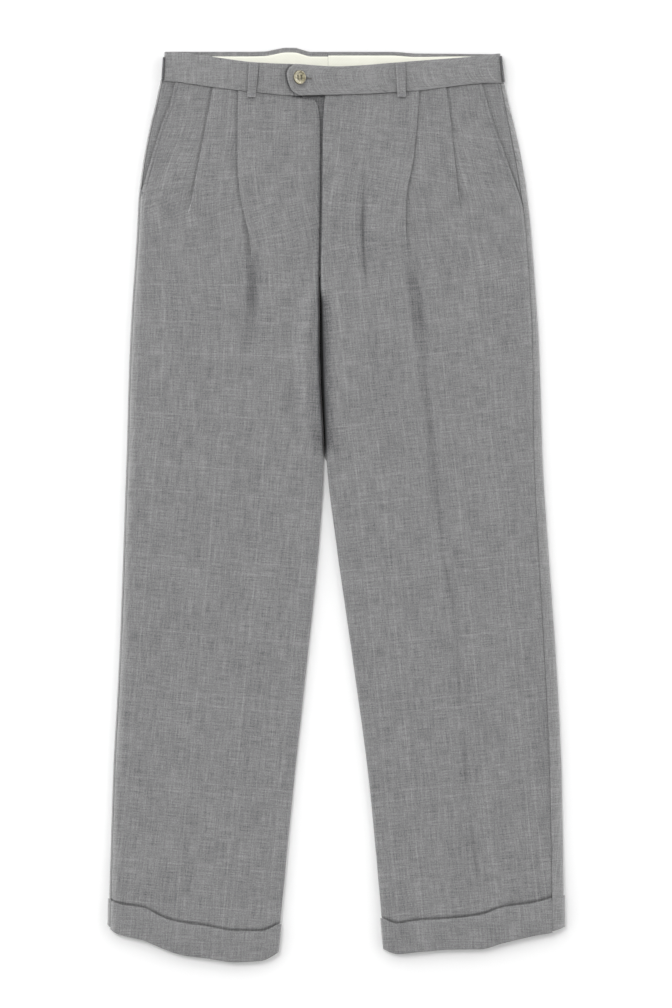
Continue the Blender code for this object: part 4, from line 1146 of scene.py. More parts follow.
def band_points(side):
    """One half of the waistband, from its front end round the side to the centre back."""
    toward_side = TOWARD_SIDE[side]
    front_end, front_stop, back_start = BAND_ENDS[side]
    share = np.linspace(0.0, 1.0, BAND_FRONT_COLUMNS)
    front_places = mix(front_end, front_stop, share**BAND_END_CLOSENESS)
    centre = CENTRE_BACK_AT_WAIST + toward_side * SEAM_GAP / 2
    back_places = np.linspace(back_start, centre, BAND_BACK_COLUMNS)
    middle_height = (BAND_FRONT_HEIGHT + BAND_BACK_HEIGHT) / 2
    radius = (BAND_FRONT_HEIGHT - BAND_BACK_HEIGHT) / 2
    turn = np.radians(BAND_FOLD_ANGLES)
    points = []
    for down in BAND_ROWS:
        side_x = mix(*BAND_SIDE[side], down)
        fold_centre = side_x - toward_side * (radius + BAND_WALL / 2)
        roll = BAND_ROLL * (bell(down / BAND_ROLL_SHARE) + bell((1 - down) / BAND_ROLL_SHARE))
        x = front_places
        height = np.full(x.shape, BAND_FRONT_HEIGHT)
        if side == "left":
            x = x + (TAB_END.at("x", down) - front_end) * (1 - ease((x - front_end) / TAB_EASE_WIDTH))
            start, end = TAB_RAMP
            height = mix(TAB_HEIGHT, height, ease((x - start) / (end - start)))
            height = height - BAND_ROLL * bell((x - x[0]) / TAB_ROLL_WIDTH)
        else:
            height = height - TAB_GROOVE * bell((x - TAB_END.at("x", down)) / TAB_GROOVE_WIDTH)
        for edge in LOOP_EDGES:
            height = height - LOOP_GROOVE * bell(from_loop_edge(side, x, down, edge) / LOOP_GROOVE_WIDTH)
        height = height + ripple(x, down * BAND_DEPTH) * BAND_RIPPLE - roll
        front = np.stack([x, band_drop(x, down, "front"), height], axis=-1)
        x = fold_centre + toward_side * radius * np.cos(turn)
        front_share = (1 + np.sin(turn)) / 2
        drop = mix(band_drop(x, down, "back"), band_drop(x, down, "front"), front_share)
        fold = np.stack([x, drop, middle_height + radius * np.sin(turn)], axis=-1)
        fold[:, 2] -= roll * np.sin(turn)
        flat = np.full(back_places.shape, BAND_BACK_HEIGHT + roll)
        back = np.stack([back_places, band_drop(back_places, down, "back"), flat], axis=-1)
        points.append(np.concatenate([front, fold, back]))
    return np.array(points)


# The painted shade along the tab's end: its share and width, and how far down it grows from which
# share. Then the painted shade beside each edge of a loop.
TAB_EDGE_SHADE = (0.9, 2.6)
TAB_EDGE_GROWTH = (0.3, 0.6)
LOOP_EDGE_SHADE = {"left": (0.75, 0.2), "right": (0.45, 0.6)}
LOOP_EDGE_WIDTH = 1.6
SHOWN_ABOVE = BAND_FRONT_HEIGHT - 2.0


def band_shade(side, points):
    """Painted shade at each point of a half of the band: darker along the tab's end and beside its loop."""
    x = points[..., 0]
    down = BAND_ROWS[:, None]
    shade = np.zeros(x.shape)
    if side == "right":
        share, width = TAB_EDGE_SHADE
        first, grown = TAB_EDGE_GROWTH
        shade = share * bell((x - TAB_END.at("x", down)) / width) * mix(first, 1.0, ease(down / grown))
    for share, edge in zip(LOOP_EDGE_SHADE[side], LOOP_EDGES):
        shade = shade + share * bell(from_loop_edge(side, x, down, edge) / LOOP_EDGE_WIDTH)
    return shade * (points[..., 2] > SHOWN_ABOVE)


# How far below the band's top edge the lining starts, near the centre back and farther out.
LINING_TOP_GAP = {"left": (4.6, 3.2), "right": (5.8, 5.8)}
LINING_GAP_CHANGE = 80.0
LINING_DEPTH = 60.0
LINING_ROWS = evenly(0.0, 1.0, 12)
LINING_RIPPLE_CLOSENESS = 2.0


def lining_points(side):
    """The lining on the inside of the band's back, a little below the band's top edge."""
    toward_side = TOWARD_SIDE[side]
    centre = CENTRE_BACK_AT_WAIST + toward_side * SEAM_GAP / 2
    x = np.linspace(BAND_ENDS[side][2], centre, BAND_BACK_COLUMNS)
    far_share = ease((np.abs(x) - LINING_GAP_CHANGE) / LINING_GAP_CHANGE)
    top = WAIST.at("back_top", x) + mix(*LINING_TOP_GAP[side], far_share)
    bottom = WAIST.at("back_seam", x) - LINING_LOWER_GAP
    points = []
    for down in LINING_ROWS:
        soft = ripple(x * LINING_RIPPLE_CLOSENESS, down * LINING_DEPTH) * BAND_RIPPLE
        points.append(np.stack([x, mix(top, bottom, down), LINING_HEIGHT + soft], axis=-1))
    return np.array(points)


FRONT_LOOP_ROWS = 34
FRONT_LOOP_HEIGHT = 7.5
FRONT_LOOP_BOW = 0.45
LOOP_EDGE_DROP = 0.6
LOOP_EDGE_SHARE = 0.12
LOOP_SHARES = (-0.5, -0.46, -0.4, -0.3, -0.15, 0.0, 0.15, 0.3, 0.4, 0.46, 0.5)
LOOP_TACKS = (0.07, 0.93)
LOOP_TACK_DIP = 0.3
LOOP_TACK_SHARE = 0.05


def loop_crown(share):
    """A loop is folded from a strip, so it is thickest along its middle and thin at its edges."""
    return -LOOP_EDGE_DROP * bell((0.5 - abs(share)) / LOOP_EDGE_SHARE)


def front_loop_points(side):
    """A flat strip from the band's top edge to just below the waist seam, tacked near its ends."""
    points = []
    for down in evenly(0.0, 1.0, FRONT_LOOP_ROWS):
        middle, drop, width = (front_loop_at(side, name, down) for name in ("x", "drop", "width"))
        height = FRONT_LOOP_HEIGHT + FRONT_LOOP_BOW * math.sin(math.pi * down)
        height -= LOOP_TACK_DIP * sum(bell((down - tack) / LOOP_TACK_SHARE) for tack in LOOP_TACKS)
        points.append([(middle + width * share, drop, height + loop_crown(share)) for share in LOOP_SHARES])
    return np.array(points, float)


SIDE_LOOP_ROWS = 22
SIDE_LOOP_DROPS = {"left": (10.2, 41.6), "right": (11.6, 39.2)}
SIDE_LOOP_ANGLES = (62, 50, 38, 26, 14, 0, -14, -26, -38, -50, -64, -78, -90)
SIDE_LOOP_STAND = 0.9
SIDE_LOOP_TAIL = 7.0
SIDE_LOOP_TAIL_SHARES = (0.4, 0.7, 1.0)
# A side loop is seen on its edge and stays in the shadow of the band: that shadow is painted on.
SIDE_LOOP_SHADE = 1.2


def side_loop_points(side):
    """A strip that passes outside the band's side fold and lies under its back."""
    toward_side = TOWARD_SIDE[side]
    middle_height = (BAND_FRONT_HEIGHT + BAND_BACK_HEIGHT) / 2
    radius = middle_height - LOOP_WALL / 2
    points = []
    for down in evenly(0.0, 1.0, SIDE_LOOP_ROWS):
        side_x = mix(*BAND_SIDE[side], down)
        drop = mix(*SIDE_LOOP_DROPS[side], down)
        centre = side_x + toward_side * (SIDE_LOOP_STAND + LOOP_WALL / 2 - radius)
        line = []
        for angle in SIDE_LOOP_ANGLES:
            turn = math.radians(angle)
            height = middle_height + radius * math.sin(turn)
            line.append((centre + toward_side * radius * math.cos(turn), drop, height))
        for tail in SIDE_LOOP_TAIL_SHARES:
            line.append((centre - toward_side * SIDE_LOOP_TAIL * tail, drop, LOOP_WALL / 2))
        points.append(line)
    return np.array(points, float)


BACK_LOOP_ROWS = 26
BACK_LOOP_DROPS = (5.4, 47.0)
BACK_LOOP_WIDTH = 11.0


def back_loop_points():
    """The loop at the centre back, between the band and the surface."""
    across = [CENTRE_BACK_AT_WAIST + BACK_LOOP_WIDTH * share for share in LOOP_SHARES]
    drops = evenly(*BACK_LOOP_DROPS, BACK_LOOP_ROWS)
    return np.array([[(x, drop, LOOP_WALL / 2) for x in across] for drop in drops])


# ---------------------------------------------------------------------------------------------
# Making pieces
# ---------------------------------------------------------------------------------------------

# The painted shade and highlight of the cloth, carried to its material as a point attribute.
SHADE_ATTRIBUTE = "fold_shade"
CLOTH_SMOOTHING = 40
RIM_ANGLE = 1.2
SLOPE_REACH = 20.0


def world_place(x, drop, height):
    return (x * MM, (LENGTH / 2 - drop) * MM, height * MM)


def grain_uv(points, grain_line=None):
    """Where each point lies on the flat cloth, in metres: across from the grain line, and down it."""
    steps = np.diff(points, axis=1)
    lengths = np.hypot(steps[..., 0], steps[..., 2])
    across = np.concatenate([np.zeros((len(points), 1)), np.cumsum(lengths, axis=1)], axis=1)
    x, down = points[..., 0], points[..., 1]
    if grain_line:
        across = across - np.abs(grain_line(down[:, 0]) - x[:, 0])[:, None]
        slope = (grain_line(down + SLOPE_REACH) - grain_line(down - SLOPE_REACH)) / (2 * SLOPE_REACH)
        down = down + slope * (x - grain_line(down))
    return np.stack([across, -down], axis=-1) * MM


def apply_modifier(obj, kind, **settings):
    modifier = obj.modifiers.new(kind.lower(), kind)
    for name, value in settings.items():
        setattr(modifier, name, value)
    bpy.context.view_layer.objects.active = obj
    bpy.ops.object.modifier_apply(modifier=modifier.name)


def soften(obj, width, segments, angle=1.0):
    apply_modifier(obj, "BEVEL", width=width, segments=segments, limit_method="ANGLE", angle_limit=angle)


def select_only(*objects):
    bpy.ops.object.select_all(action="DESELECT")
    for obj in objects:
        obj.select_set(True)
    bpy.context.view_layer.objects.active = objects[0]


def smooth_by_angle(obj, degrees):
    select_only(obj)
    bpy.ops.object.shade_smooth_by_angle(angle=math.radians(degrees))


def apply_place(obj, place):
    """Puts an object at its place and moves that place into its mesh."""
    obj.matrix_world = place
    select_only(obj)
    bpy.ops.object.transform_apply(location=True, rotation=True, scale=True)


def leg_shade(leg, points, columns=None):
    """Painted shade or highlight at each point of a leg's grid. Only a back's edges, which show, take it."""
    shade = leg.shade(leg.across_at(points[..., 0], points[..., 1]), points[..., 1])
    if columns:
        shade = shade * np.array([kind in ("corner", "over") for kind, _ in columns], float)
    return shade


def cloth_sheet(name, points, uv, wall, material, shade=None):
    """An open sheet through a grid of points, given a wall to both sides and a softened rim."""
    rows, columns = points.shape[:2]
    index = np.arange(rows * columns).reshape(rows, columns)
    corners = (index[:-1, :-1], index[:-1, 1:], index[1:, 1:], index[1:, :-1])
    faces = np.stack(corners, axis=-1).reshape(-1, 4)
    places = np.stack(world_place(points[..., 0], points[..., 1], points[..., 2]), axis=-1)
    mesh = bpy.data.meshes.new(name)
    mesh.from_pydata(places.reshape(-1, 3).tolist(), [], faces.tolist())
    layer = mesh.uv_layers.new(name="cloth")
    layer.data.foreach_set("uv", uv.reshape(-1, 2)[faces.reshape(-1)].astype(np.float32).ravel())
    if shade is not None:
        attribute = mesh.attributes.new(SHADE_ATTRIBUTE, "FLOAT", "POINT")
        attribute.data.foreach_set("value", shade.astype(np.float32).ravel())
    obj = bpy.data.objects.new(name, mesh)
    obj.data.materials.append(material)
    bpy.context.scene.collection.objects.link(obj)
    apply_modifier(obj, "SOLIDIFY", thickness=wall * MM, offset=0.0, use_rim=True)
    rim = min(bpy.context.scene.trouser_cloth.rim, wall * MM / 3)
    if rim:
        soften(obj, rim, 2, RIM_ANGLE)
    smooth_by_angle(obj, CLOTH_SMOOTHING)
    return obj


def hand_over(obj, slot, *nodes):
    """Ties a finished piece to the body and hides the solid that it stands for. The slot is not used."""
    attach(obj, BODY)
    if nodes:
        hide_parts(*nodes)


# Where in the cloth each kind of piece lies, in metres, so that no two show the same yarns.
BACK_SHIFT = (0.9, 0.3)
FRONT_SHIFT = 0.1
TURN_UP_SHIFT = (0.43, 0.21)
BAND_SHIFT = (0.57, 0.13)
LOOP_SHIFTS = (0.07, 0.03)
POCKET_SHIFT = (0.31, 0.17)


def lay_cloth(
    name, node, under, points, uv_shift, wall=CLOTH_WALL, cloth="grey suiting", slot="suiting",
    grain_line=None, shade=None,
):
    """Makes a piece of cloth in the place of its solid. The piece under it is not used."""
    uv = grain_uv(points, grain_line) + uv_shift
    obj = cloth_sheet(name, points, uv, wall, material_named(cloth), shade)
    hand_over(obj, slot, node)


# ---------------------------------------------------------------------------------------------
# Settings
# ---------------------------------------------------------------------------------------------


def srgb(code):
    """A colour given as an sRGB hex code, as the linear values that Blender takes."""
    shares = [int(code[i : i + 2], 16) / 255 for i in (1, 3, 5)]
    return tuple(s / 12.92 if s <= 0.04045 else ((s + 0.055) / 1.055) ** 2.4 for s in shares)


def colour_setting(name, description, code):
    return bpy.props.FloatVectorProperty(
        name=name, description=description, subtype="COLOR", size=3, min=0.0, max=1.0, default=srgb(code)
    )


def length_setting(name, description, default, least, **limits):
    return bpy.props.FloatProperty(
        name=name, description=description, default=default, min=least,
        unit="LENGTH", subtype="DISTANCE", **limits,
    )


def light_setting(name, description, default, **unit):
    return bpy.props.FloatProperty(name=name, description=description, default=default, min=0.0, **unit)


class ClothSettings(bpy.types.PropertyGroup):
    """Sizes and colours of the cloth."""

    dark_yarn: colour_setting("Dark yarn", "Darkest fibres of the grey yarn", "#505052")
    light_yarn: colour_setting("Light yarn", "Lightest fibres of the grey yarn", "#929292")
    lining: colour_setting("Lining", "Colour of the waistband's lining", "#e3e3d7")
    slub_width: length_setting("Slub width", "How wide one thick place in the yarn lies", 0.0013, 0.0002)
    slub_length: length_setting("Slub length", "How long one thick place in the yarn is", 0.022, 0.001)
    rim: length_setting("Rim", "How far the cut edges of the cloth are softened", 0.0003, 0.0, max=0.0004)


class ButtonSettings(bpy.types.PropertyGroup):
    """Sizes and colours of the waist button."""

    diameter: length_setting("Diameter", "Across the button", 0.0174, 0.008)
    thickness: length_setting("Thickness", "From the button's back to its rim", 0.0028, 0.001)
    hole: length_setting("Hole", "Across one of the four holes", 0.002, 0.001)
    hole_spacing: length_setting(
        "Hole spacing", "Between the middles of two neighbouring holes", 0.0042, 0.002
    )
    tilt: bpy.props.FloatProperty(
        name="Tilt",
        description="How far the buttonhole tips the button",
        default=math.radians(27),
        subtype="ANGLE",
        unit="ROTATION",
    )
    face: colour_setting("Face", "Light part of the resin", "#a7a188")
    vein: colour_setting("Vein", "Dark part of the resin", "#615a44")
    # The edge colour is partly the resin's own dark outer layer and partly painted shade round the button.
    edge: colour_setting("Edge", "Dark outer layer of the resin, on the button's side", "#251f15")


class StitchSettings(bpy.types.PropertyGroup):
    """Sizes and colours of the sewing thread."""

    thread: length_setting("Thread", "Across the sewing thread", 0.0005, 0.0002)
    length: length_setting("Stitch length", "Length of one stitch that shows", 0.0022, 0.001)
    pitch: length_setting("Stitch pitch", "From one stitch to the next", 0.003, 0.001)
    seam_thread: colour_setting("Seam thread", "Thread of the pockets' edge stitching", "#77777a")
    tack_thread: colour_setting("Tack thread", "Thread of the bar tacks", "#858585")
    button_thread: colour_setting("Button thread", "Thread that sews the button on", "#47422f")


class StageSettings(bpy.types.PropertyGroup):
    """Floor, lights and camera."""

    floor: colour_setting("Floor", "Colour of the studio floor", "#f4f4f4")
    camera_height: length_setting("Camera height", "From the floor to the camera", 6.0, 1.0)
    key_power: light_setting("Key light", "Power of the large light on the waist's side", 175.0, unit="POWER")
    world_strength: light_setting("Ceiling", "Strength of the soft light from above", 0.36)
    horizon_strength: light_setting("Walls", "Strength of the soft light from all round the floor", 6.2)


# ---------------------------------------------------------------------------------------------
# Materials
# ---------------------------------------------------------------------------------------------


def plug(tree, node, inputs):
    """Sets a node's inputs, by name or number. An input that is given a socket is linked to it."""
    for name, value in inputs.items():
        if isinstance(value, bpy.types.NodeSocket):
            tree.links.new(value, node.inputs[name])
        else:
            node.inputs[name].default_value = value


def add_node(tree, kind, inputs=(), out=0, **settings):
    """Adds a node with its settings, inputs and links, and gives one of its outputs, or all for None."""
    made = tree.nodes.new("ShaderNode" + kind)
    for name, value in settings.items():
        setattr(made, name, value)
    plug(tree, made, inputs if isinstance(inputs, dict) else dict(enumerate(inputs)))
    return made.outputs if out is None else made.outputs[out]


def new_material(name):
    """A new material, with the function that adds nodes to it and the one that sets its shader."""
    material = bpy.data.materials.new(name)
    material.use_nodes = True
    tree = material.node_tree
    shader = tree.nodes["Principled BSDF"]
    return material, partial(add_node, tree), partial(plug, tree, shader)


# The weave is drawn at three times its real thread spacing, because the real one is too fine to show.
WEAVE_PITCH = 1.5 * MM
# How much lighter each copy of the cloth is painted, or darker below 0: the band's copy is painted
# lighter, a painted highlight for threads that catch more light where they are cut across, and the
# fly strip's copy is painted darker, a painted shade for the shadow in the fly's opening.
SUITING_TONES = {"grey suiting": 0.06, "grey suiting cut across": 0.14, "grey suiting inside": -0.2}
MIDDLE_TONE = 0.5
# Painted shade: how far the fold_shade attribute darkens the yarns, and past 1 darker still.
FOLD_SHADE_GAIN = 0.5
DEEP_SHADE = 2.6
DEEP_SHADE_LIGHT = 0.15
# The faint open check: its spacing, how wide its lines are as shares of that, and on each set of
# threads where it starts and how light it is.
PANE_SPACING = 52 * MM
PANE_LINE = (0.028, 0.008)
PANES = (("X", 0.37, 0.12), ("Y", 0.0, 0.10))
# Dark specks: their spacing, their size as shares of that, how rare they are, and how dark.
SPECK_SPACING = 26 * MM
SPECK_SIZE = (0.034, 0.016)
SPECK_RARITY = 0.86
SPECK_TONE = -0.35
SLUB_RELIEF = 1.4
WEAVE_RELIEF = 0.25


def suiting_material(name):
    """Lightweight plain-woven wool and linen suiting in grey yarns of uneven thickness.

    Dark and light fibres are spun together, so thick places show as short light or dark streaks
    along both sets of threads, with a faint open check. The surface is dry, with a soft nap that gives
    a slight sheen. Its colour also takes painted shade in the folds and a painted highlight on the
    outer folds, after the fold_shade attribute.
    """
    cloth = bpy.context.scene.trouser_cloth
    material, add, shader = new_material(name)
    uv = add("UVMap", uv_map="cloth")
    wide = 1 / cloth.slub_width
    long = 1 / cloth.slub_length
    # Streaks and soft patches of the yarn: how close they lie across and down, their detail and
    # roughness, where they start, and how strong they are.
    grains = (
        (wide, long, 2.0, 0.5, 3.1, 0.62),
        (long, wide, 2.0, 0.5, 7.7, 0.66),
        (wide * 0.8, wide * 0.8, 1.0, 0.5, 11.9, 0.66),
        (wide * 0.25, long * 0.45, 1.0, 0.5, 17.3, 0.22),
        (28.0, 22.0, 3.0, 0.55, 23.9, 0.22),
    )
    folds = add("Attribute", out="Fac", attribute_name=SHADE_ATTRIBUTE)
    tone = MIDDLE_TONE + SUITING_TONES[name]
    shade = add("Math", (folds, -FOLD_SHADE_GAIN, tone), operation="MULTIPLY_ADD")
    streaks = []
    for across, down, detail, roughness, start, gain in grains:
        scale = {"Location": (start, start * 0.7, 0.0), "Scale": (across, down, 1.0)}
        place = add("Mapping", {"Vector": uv, **scale})
        look = {"Vector": place, "Scale": 1.0, "Detail": detail, "Roughness": roughness}
        noise = add("TexNoise", look, "Fac", noise_dimensions="2D")
        streaks.append(add("Math", (noise, 0.5), operation="SUBTRACT"))
        shade = add("Math", (streaks[-1], gain, shade), operation="MULTIPLY_ADD")

    parts = add("SeparateXYZ", (uv,), None)
    for axis, start, gain in PANES:
        place = add("Math", (parts[axis], 1 / PANE_SPACING, start), operation="MULTIPLY_ADD")
        cell = add("TexVoronoi", {"W": place, "Scale": 1.0}, "Distance", voronoi_dimensions="1D")
        line = add("MapRange", (cell, *PANE_LINE, 0.0, gain))
        shade = add("Math", (line, shade), operation="ADD")

    place = add("Mapping", {"Vector": uv, "Scale": (1 / SPECK_SPACING, 1 / SPECK_SPACING, 1.0)})
    speck = add("TexVoronoi", {"Vector": place, "Scale": 1.0}, None, voronoi_dimensions="2D")
    near = add("MapRange", (speck["Distance"], *SPECK_SIZE, 0.0, 1.0))
    chance = add("SeparateXYZ", (speck["Color"],), "X")
    few = add("Math", (chance, SPECK_RARITY), operation="GREATER_THAN")
    specks = add("Math", (near, few), operation="MULTIPLY")
    shade = add("Math", (specks, SPECK_TONE, shade), operation="MULTIPLY_ADD")

    yarns = {0: shade, 6: (*cloth.dark_yarn, 1.0), 7: (*cloth.light_yarn, 1.0)}
    colour = add("Mix", yarns, 2, data_type="RGBA", clamp_factor=True)
    # Painted shade darker than the darkest yarn, where the fold_shade attribute passes 1.
    deepest = add("MapRange", (folds, 1.0, DEEP_SHADE, 1.0, DEEP_SHADE_LIGHT))
    colour = add("VectorMath", {0: colour, 3: deepest}, operation="SCALE")

    turns = [add("Math", (parts[axis], 2 * math.pi / WEAVE_PITCH), operation="MULTIPLY") for axis in "XY"]
    threads = [add("Math", (turn,), operation="SINE") for turn in turns]
    weave = add("Math", threads, operation="MULTIPLY")
    relief = add("Math", (streaks[0], SLUB_RELIEF, streaks[1]), operation="MULTIPLY_ADD")
    relief = add("Math", (weave, WEAVE_RELIEF, relief), operation="MULTIPLY_ADD")
    bump = add("Bump", {"Strength": 0.35, "Distance": 0.25 * MM, "Height": relief})
    shader({"Base Color": colour, "Normal": bump, "Roughness": 0.92, "Specular IOR Level": 0.2})
    shader({"Sheen Weight": 0.12, "Sheen Roughness": 0.5})
    return material


SATEEN_BAND = 6.0 * MM
SATEEN_SHADOW = "#d5d4c7"


def lining_material(name):
    """Cotton sateen: closely woven with floating threads, so it is smooth with a soft gloss."""
    material, add, shader = new_material(name)
    uv = add("UVMap", uv_map="cloth")
    look = {"Vector": uv, "Scale": 1 / SATEEN_BAND, "Distortion": 0.4, "Detail": 1.0}
    wave = add("TexWave", look, "Fac", bands_direction="DIAGONAL")
    soft = add("TexNoise", {"Vector": uv, "Scale": 60.0, "Detail": 2.0}, "Fac", noise_dimensions="2D")
    soft = add("Math", (soft, 0.5), operation="MULTIPLY")
    tone = add("Math", (wave, 0.15, soft), operation="MULTIPLY_ADD")
    tones = {0: tone, 6: (*bpy.context.scene.trouser_cloth.lining, 1.0), 7: (*srgb(SATEEN_SHADOW), 1.0)}
    colour = add("Mix", tones, 2, data_type="RGBA")
    bump = add("Bump", {"Strength": 0.2, "Distance": 0.1 * MM, "Height": wave})
    shader({"Base Color": colour, "Normal": bump, "Roughness": 0.5, "Sheen Weight": 0.1})
    return material


VEIN_SPACING = 5.0 * MM
VEIN_RANGE = (0.42, 0.66)
POLISH_SCRATCH = 0.6 * MM


def resin_material(name):
    """Horn-coloured resin: cast as a plate with soft brown veins, turned and polished."""
    settings = bpy.context.scene.trouser_button
    base = settings.edge if "dark" in name else settings.face
    material, add, shader = new_material(name)
    place = add("TexCoord", out="Object")
    look = {"Scale": 1 / VEIN_SPACING, "Detail": 4.0, "Roughness": 0.6, "Distortion": 1.2}
    noise = add("TexNoise", {"Vector": place, **look}, "Fac")
    veins = add("MapRange", (noise, *VEIN_RANGE, 0.0, 1.0))
    colours = {0: veins, 6: (*base, 1.0), 7: (*settings.vein, 1.0)}
    colour = add("Mix", colours, 2, data_type="RGBA")
    scratches = add("TexNoise", {"Vector": place, "Scale": 1 / POLISH_SCRATCH, "Detail": 2.0}, "Fac")
    bump = add("Bump", {"Strength": 0.1, "Distance": 0.05 * MM, "Height": scratches})
    shader({"Base Color": colour, "Normal": bump, "Roughness": 0.3, "IOR": 1.54})
    return material


# The plies' twist is drawn coarser than it is, because the real one is too fine to show.
TWIST_PITCH = 3.0 * MM
# How much darker and lighter the thread is painted in bands along its twist: painted shade and highlight.
TWIST_SHADE_AND_HIGHLIGHT = (0.75, 1.2)


def thread_material(name):
    """Spun polyester thread: two plies twisted together, dull, with painted shade and highlight along the
    twist.
    """
    base = getattr(bpy.context.scene.trouser_stitches, name.replace(" ", "_"))
    material, add, shader = new_material(name)
    look = {"Vector": add("TexCoord", out="Object"), "Scale": 1 / TWIST_PITCH, "Distortion": 0.5}
    wave = add("TexWave", look, "Fac", bands_direction="DIAGONAL")
    dark, light = ((*(min(1.0, c * tone) for c in base), 1.0) for tone in TWIST_SHADE_AND_HIGHLIGHT)
    colour = add("Mix", {0: wave, 6: dark, 7: light}, 2, data_type="RGBA")
    shader({"Base Color": colour, "Roughness": 0.7, "Sheen Weight": 0.15})
    return material


PAPER_FIBRE = 8.0 * MM


def paper_material(name):
    """Matt white background paper, seamless and faintly fibrous."""
    material, add, shader = new_material(name)
    look = {"Vector": add("TexCoord", out="Object"), "Scale": 1 / PAPER_FIBRE, "Detail": 3.0}
    fibres = add("TexNoise", look, "Fac")
    bump = add("Bump", {"Strength": 0.02, "Distance": 0.1 * MM, "Height": fibres})
    floor = (*bpy.context.scene.trouser_stage.floor, 1.0)
    shader({"Base Color": floor, "Normal": bump, "Roughness": 0.95, "Specular IOR Level": 0.1})
    return material


MATERIALS = {
    **dict.fromkeys(SUITING_TONES, suiting_material),
    "cotton sateen lining": lining_material,
    "polished horn-coloured resin": resin_material,
    "polished dark resin": resin_material,
    **dict.fromkeys(("seam thread", "tack thread", "button thread"), thread_material),
    "white background paper": paper_material,
}


def material_named(name):
    """The material of this name, which is made when it is first asked for."""
    return bpy.data.materials.get(name) or MATERIALS[name](name)


# ---------------------------------------------------------------------------------------------
# Operators
# ---------------------------------------------------------------------------------------------


class TrouserOperator:
    """What all operators of this panel share."""

    bl_options = {"REGISTER", "UNDO"}

    @classmethod
    def poll(cls, context):
        return context.mode == "OBJECT"


FLOOR_SIZE = 14.0
SENSOR_SIZE = 36.0
IMAGE_LONG_SIDE = 1008
MM_PER_PIXEL = 1.2
CAMERA_AIM = (0.0, 1.2 * MM)
KEY_SIZE = (2.6, 2.6)
KEY_PLACE = (-3.2, 3.4, 5.0)
# The soft light of the walls: how high they reach, and how strong they are at the sides and ends.
WALL_HEIGHT = 0.6
SIDE_WALLS = 1.3
END_WALLS = 0.5
FAR_END_WALL = 0.45


class TROUSERS_OT_stage(TrouserOperator, bpy.types.Operator):
    """Lay the pale floor, hang the lights and set the camera straight above the garment"""

    bl_idname = "trousers.stage"
    bl_label = "Floor, Lights and Camera"

    def execute(self, context):
        stage = context.scene.trouser_stage
        bpy.ops.object.select_all(action="DESELECT")
        bpy.ops.mesh.primitive_plane_add(size=FLOOR_SIZE, location=(0.0, 0.0, 0.0))
        floor = context.object
        floor.name = "studio_floor"
        floor.data.materials.append(material_named("white background paper"))
        self.place_camera(context.scene, stage)
        self.place_key(context.scene, stage)
        self.light_room(context.scene, stage)
        return {"FINISHED"}

    def place_camera(self, scene, stage):
        data = bpy.data.cameras.new("camera")
        data.sensor_width = SENSOR_SIZE
        data.lens = SENSOR_SIZE * stage.camera_height / (IMAGE_LONG_SIDE * MM_PER_PIXEL * MM)
        camera = bpy.data.objects.new("camera", data)
        camera.location = (*CAMERA_AIM, stage.camera_height)
        scene.collection.objects.link(camera)
        scene.camera = camera

    def place_key(self, scene, stage):
        data = bpy.data.lights.new("key", "AREA")
        data.shape = "RECTANGLE"
        data.size, data.size_y = KEY_SIZE
        data.energy = stage.key_power
        key = bpy.data.objects.new("key", data)
        key.location = KEY_PLACE
        key.rotation_euler = (-Vector(KEY_PLACE)).to_track_quat("-Z", "Y").to_euler()
        scene.collection.objects.link(key)

    def light_room(self, scene, stage):
        world = bpy.data.worlds.new("studio")
        world.use_nodes = True
        tree = world.node_tree
        add = partial(add_node, tree)
        along = add("SeparateXYZ", (add("TexCoord", out="Generated"),), None)
        sideways = add("Math", (along["X"], 2.0), operation="POWER")
        ends = add("Math", (along["Y"], FAR_END_WALL, END_WALLS), operation="MULTIPLY_ADD")
        spread = add("Math", (sideways, SIDE_WALLS - END_WALLS, ends), operation="MULTIPLY_ADD")
        walls = add("Math", (spread, stage.horizon_strength), operation="MULTIPLY")
        strength = add("MapRange", (along["Z"], 0.0, WALL_HEIGHT, walls, stage.world_strength))
        plug(tree, tree.nodes["Background"], {"Strength": strength, "Color": (1.0, 1.0, 1.0, 1.0)})
        scene.world = world
        scene.view_settings.view_transform = "Standard"


class TROUSERS_OT_backs(TrouserOperator, bpy.types.Operator):
    """Make the two back panels, which come round the outer folds to the side seams"""

    bl_idname = "trousers.backs"
    bl_label = "Backs"

    def execute(self, context):
        for leg in (LEFT, RIGHT):
            points = back_points(leg)
            look = {"grain_line": leg.grain_line, "shade": leg_shade(leg, points, back_columns())}
            name = f"back_panel_{leg.side}"
            lay_cloth(name, f"back_{leg.side}", "studio_floor", points, BACK_SHIFT, **look)
        return {"FINISHED"}


class TROUSERS_OT_fronts(TrouserOperator, bpy.types.Operator):
    """Make the two front panels with their pleats, creases and turned fly edge"""

    bl_idname = "trousers.fronts"
    bl_label = "Fronts"

    def execute(self, context):
        for leg in (LEFT, RIGHT):
            side = leg.side
            points = front_points(leg)
            look = {"wall": FRONT_WALL, "grain_line": leg.grain_line, "shade": leg_shade(leg, points)}
            shift = (FRONT_SHIFT * leg.toward_side, 0.0)
            lay_cloth(f"front_panel_{side}", f"front_{side}", f"back_panel_{side}", points, shift, **look)
        return {"FINISHED"}


class TROUSERS_OT_turn_ups(TrouserOperator, bpy.types.Operator):
    """Make the turn-ups, a front and a back half on each leg"""

    bl_idname = "trousers.turn_ups"
    bl_label = "Turn-Ups"

    def execute(self, context):
        for leg in (LEFT, RIGHT):
            shift = (TURN_UP_SHIFT[0] * leg.toward_side, TURN_UP_SHIFT[1])
            fronts = ("front", cuff_front_points(leg), None)
            backs = ("back", cuff_back_points(leg), back_columns())
            for half, points, columns in (fronts, backs):
                name = f"{half}_{leg.side}"
                shade = leg_shade(leg, points, columns)
                under = f"{half}_panel_{leg.side}"
                lay_cloth("turn_up_" + name, "cuff_" + name, under, points, shift, shade=shade)
        return {"FINISHED"}


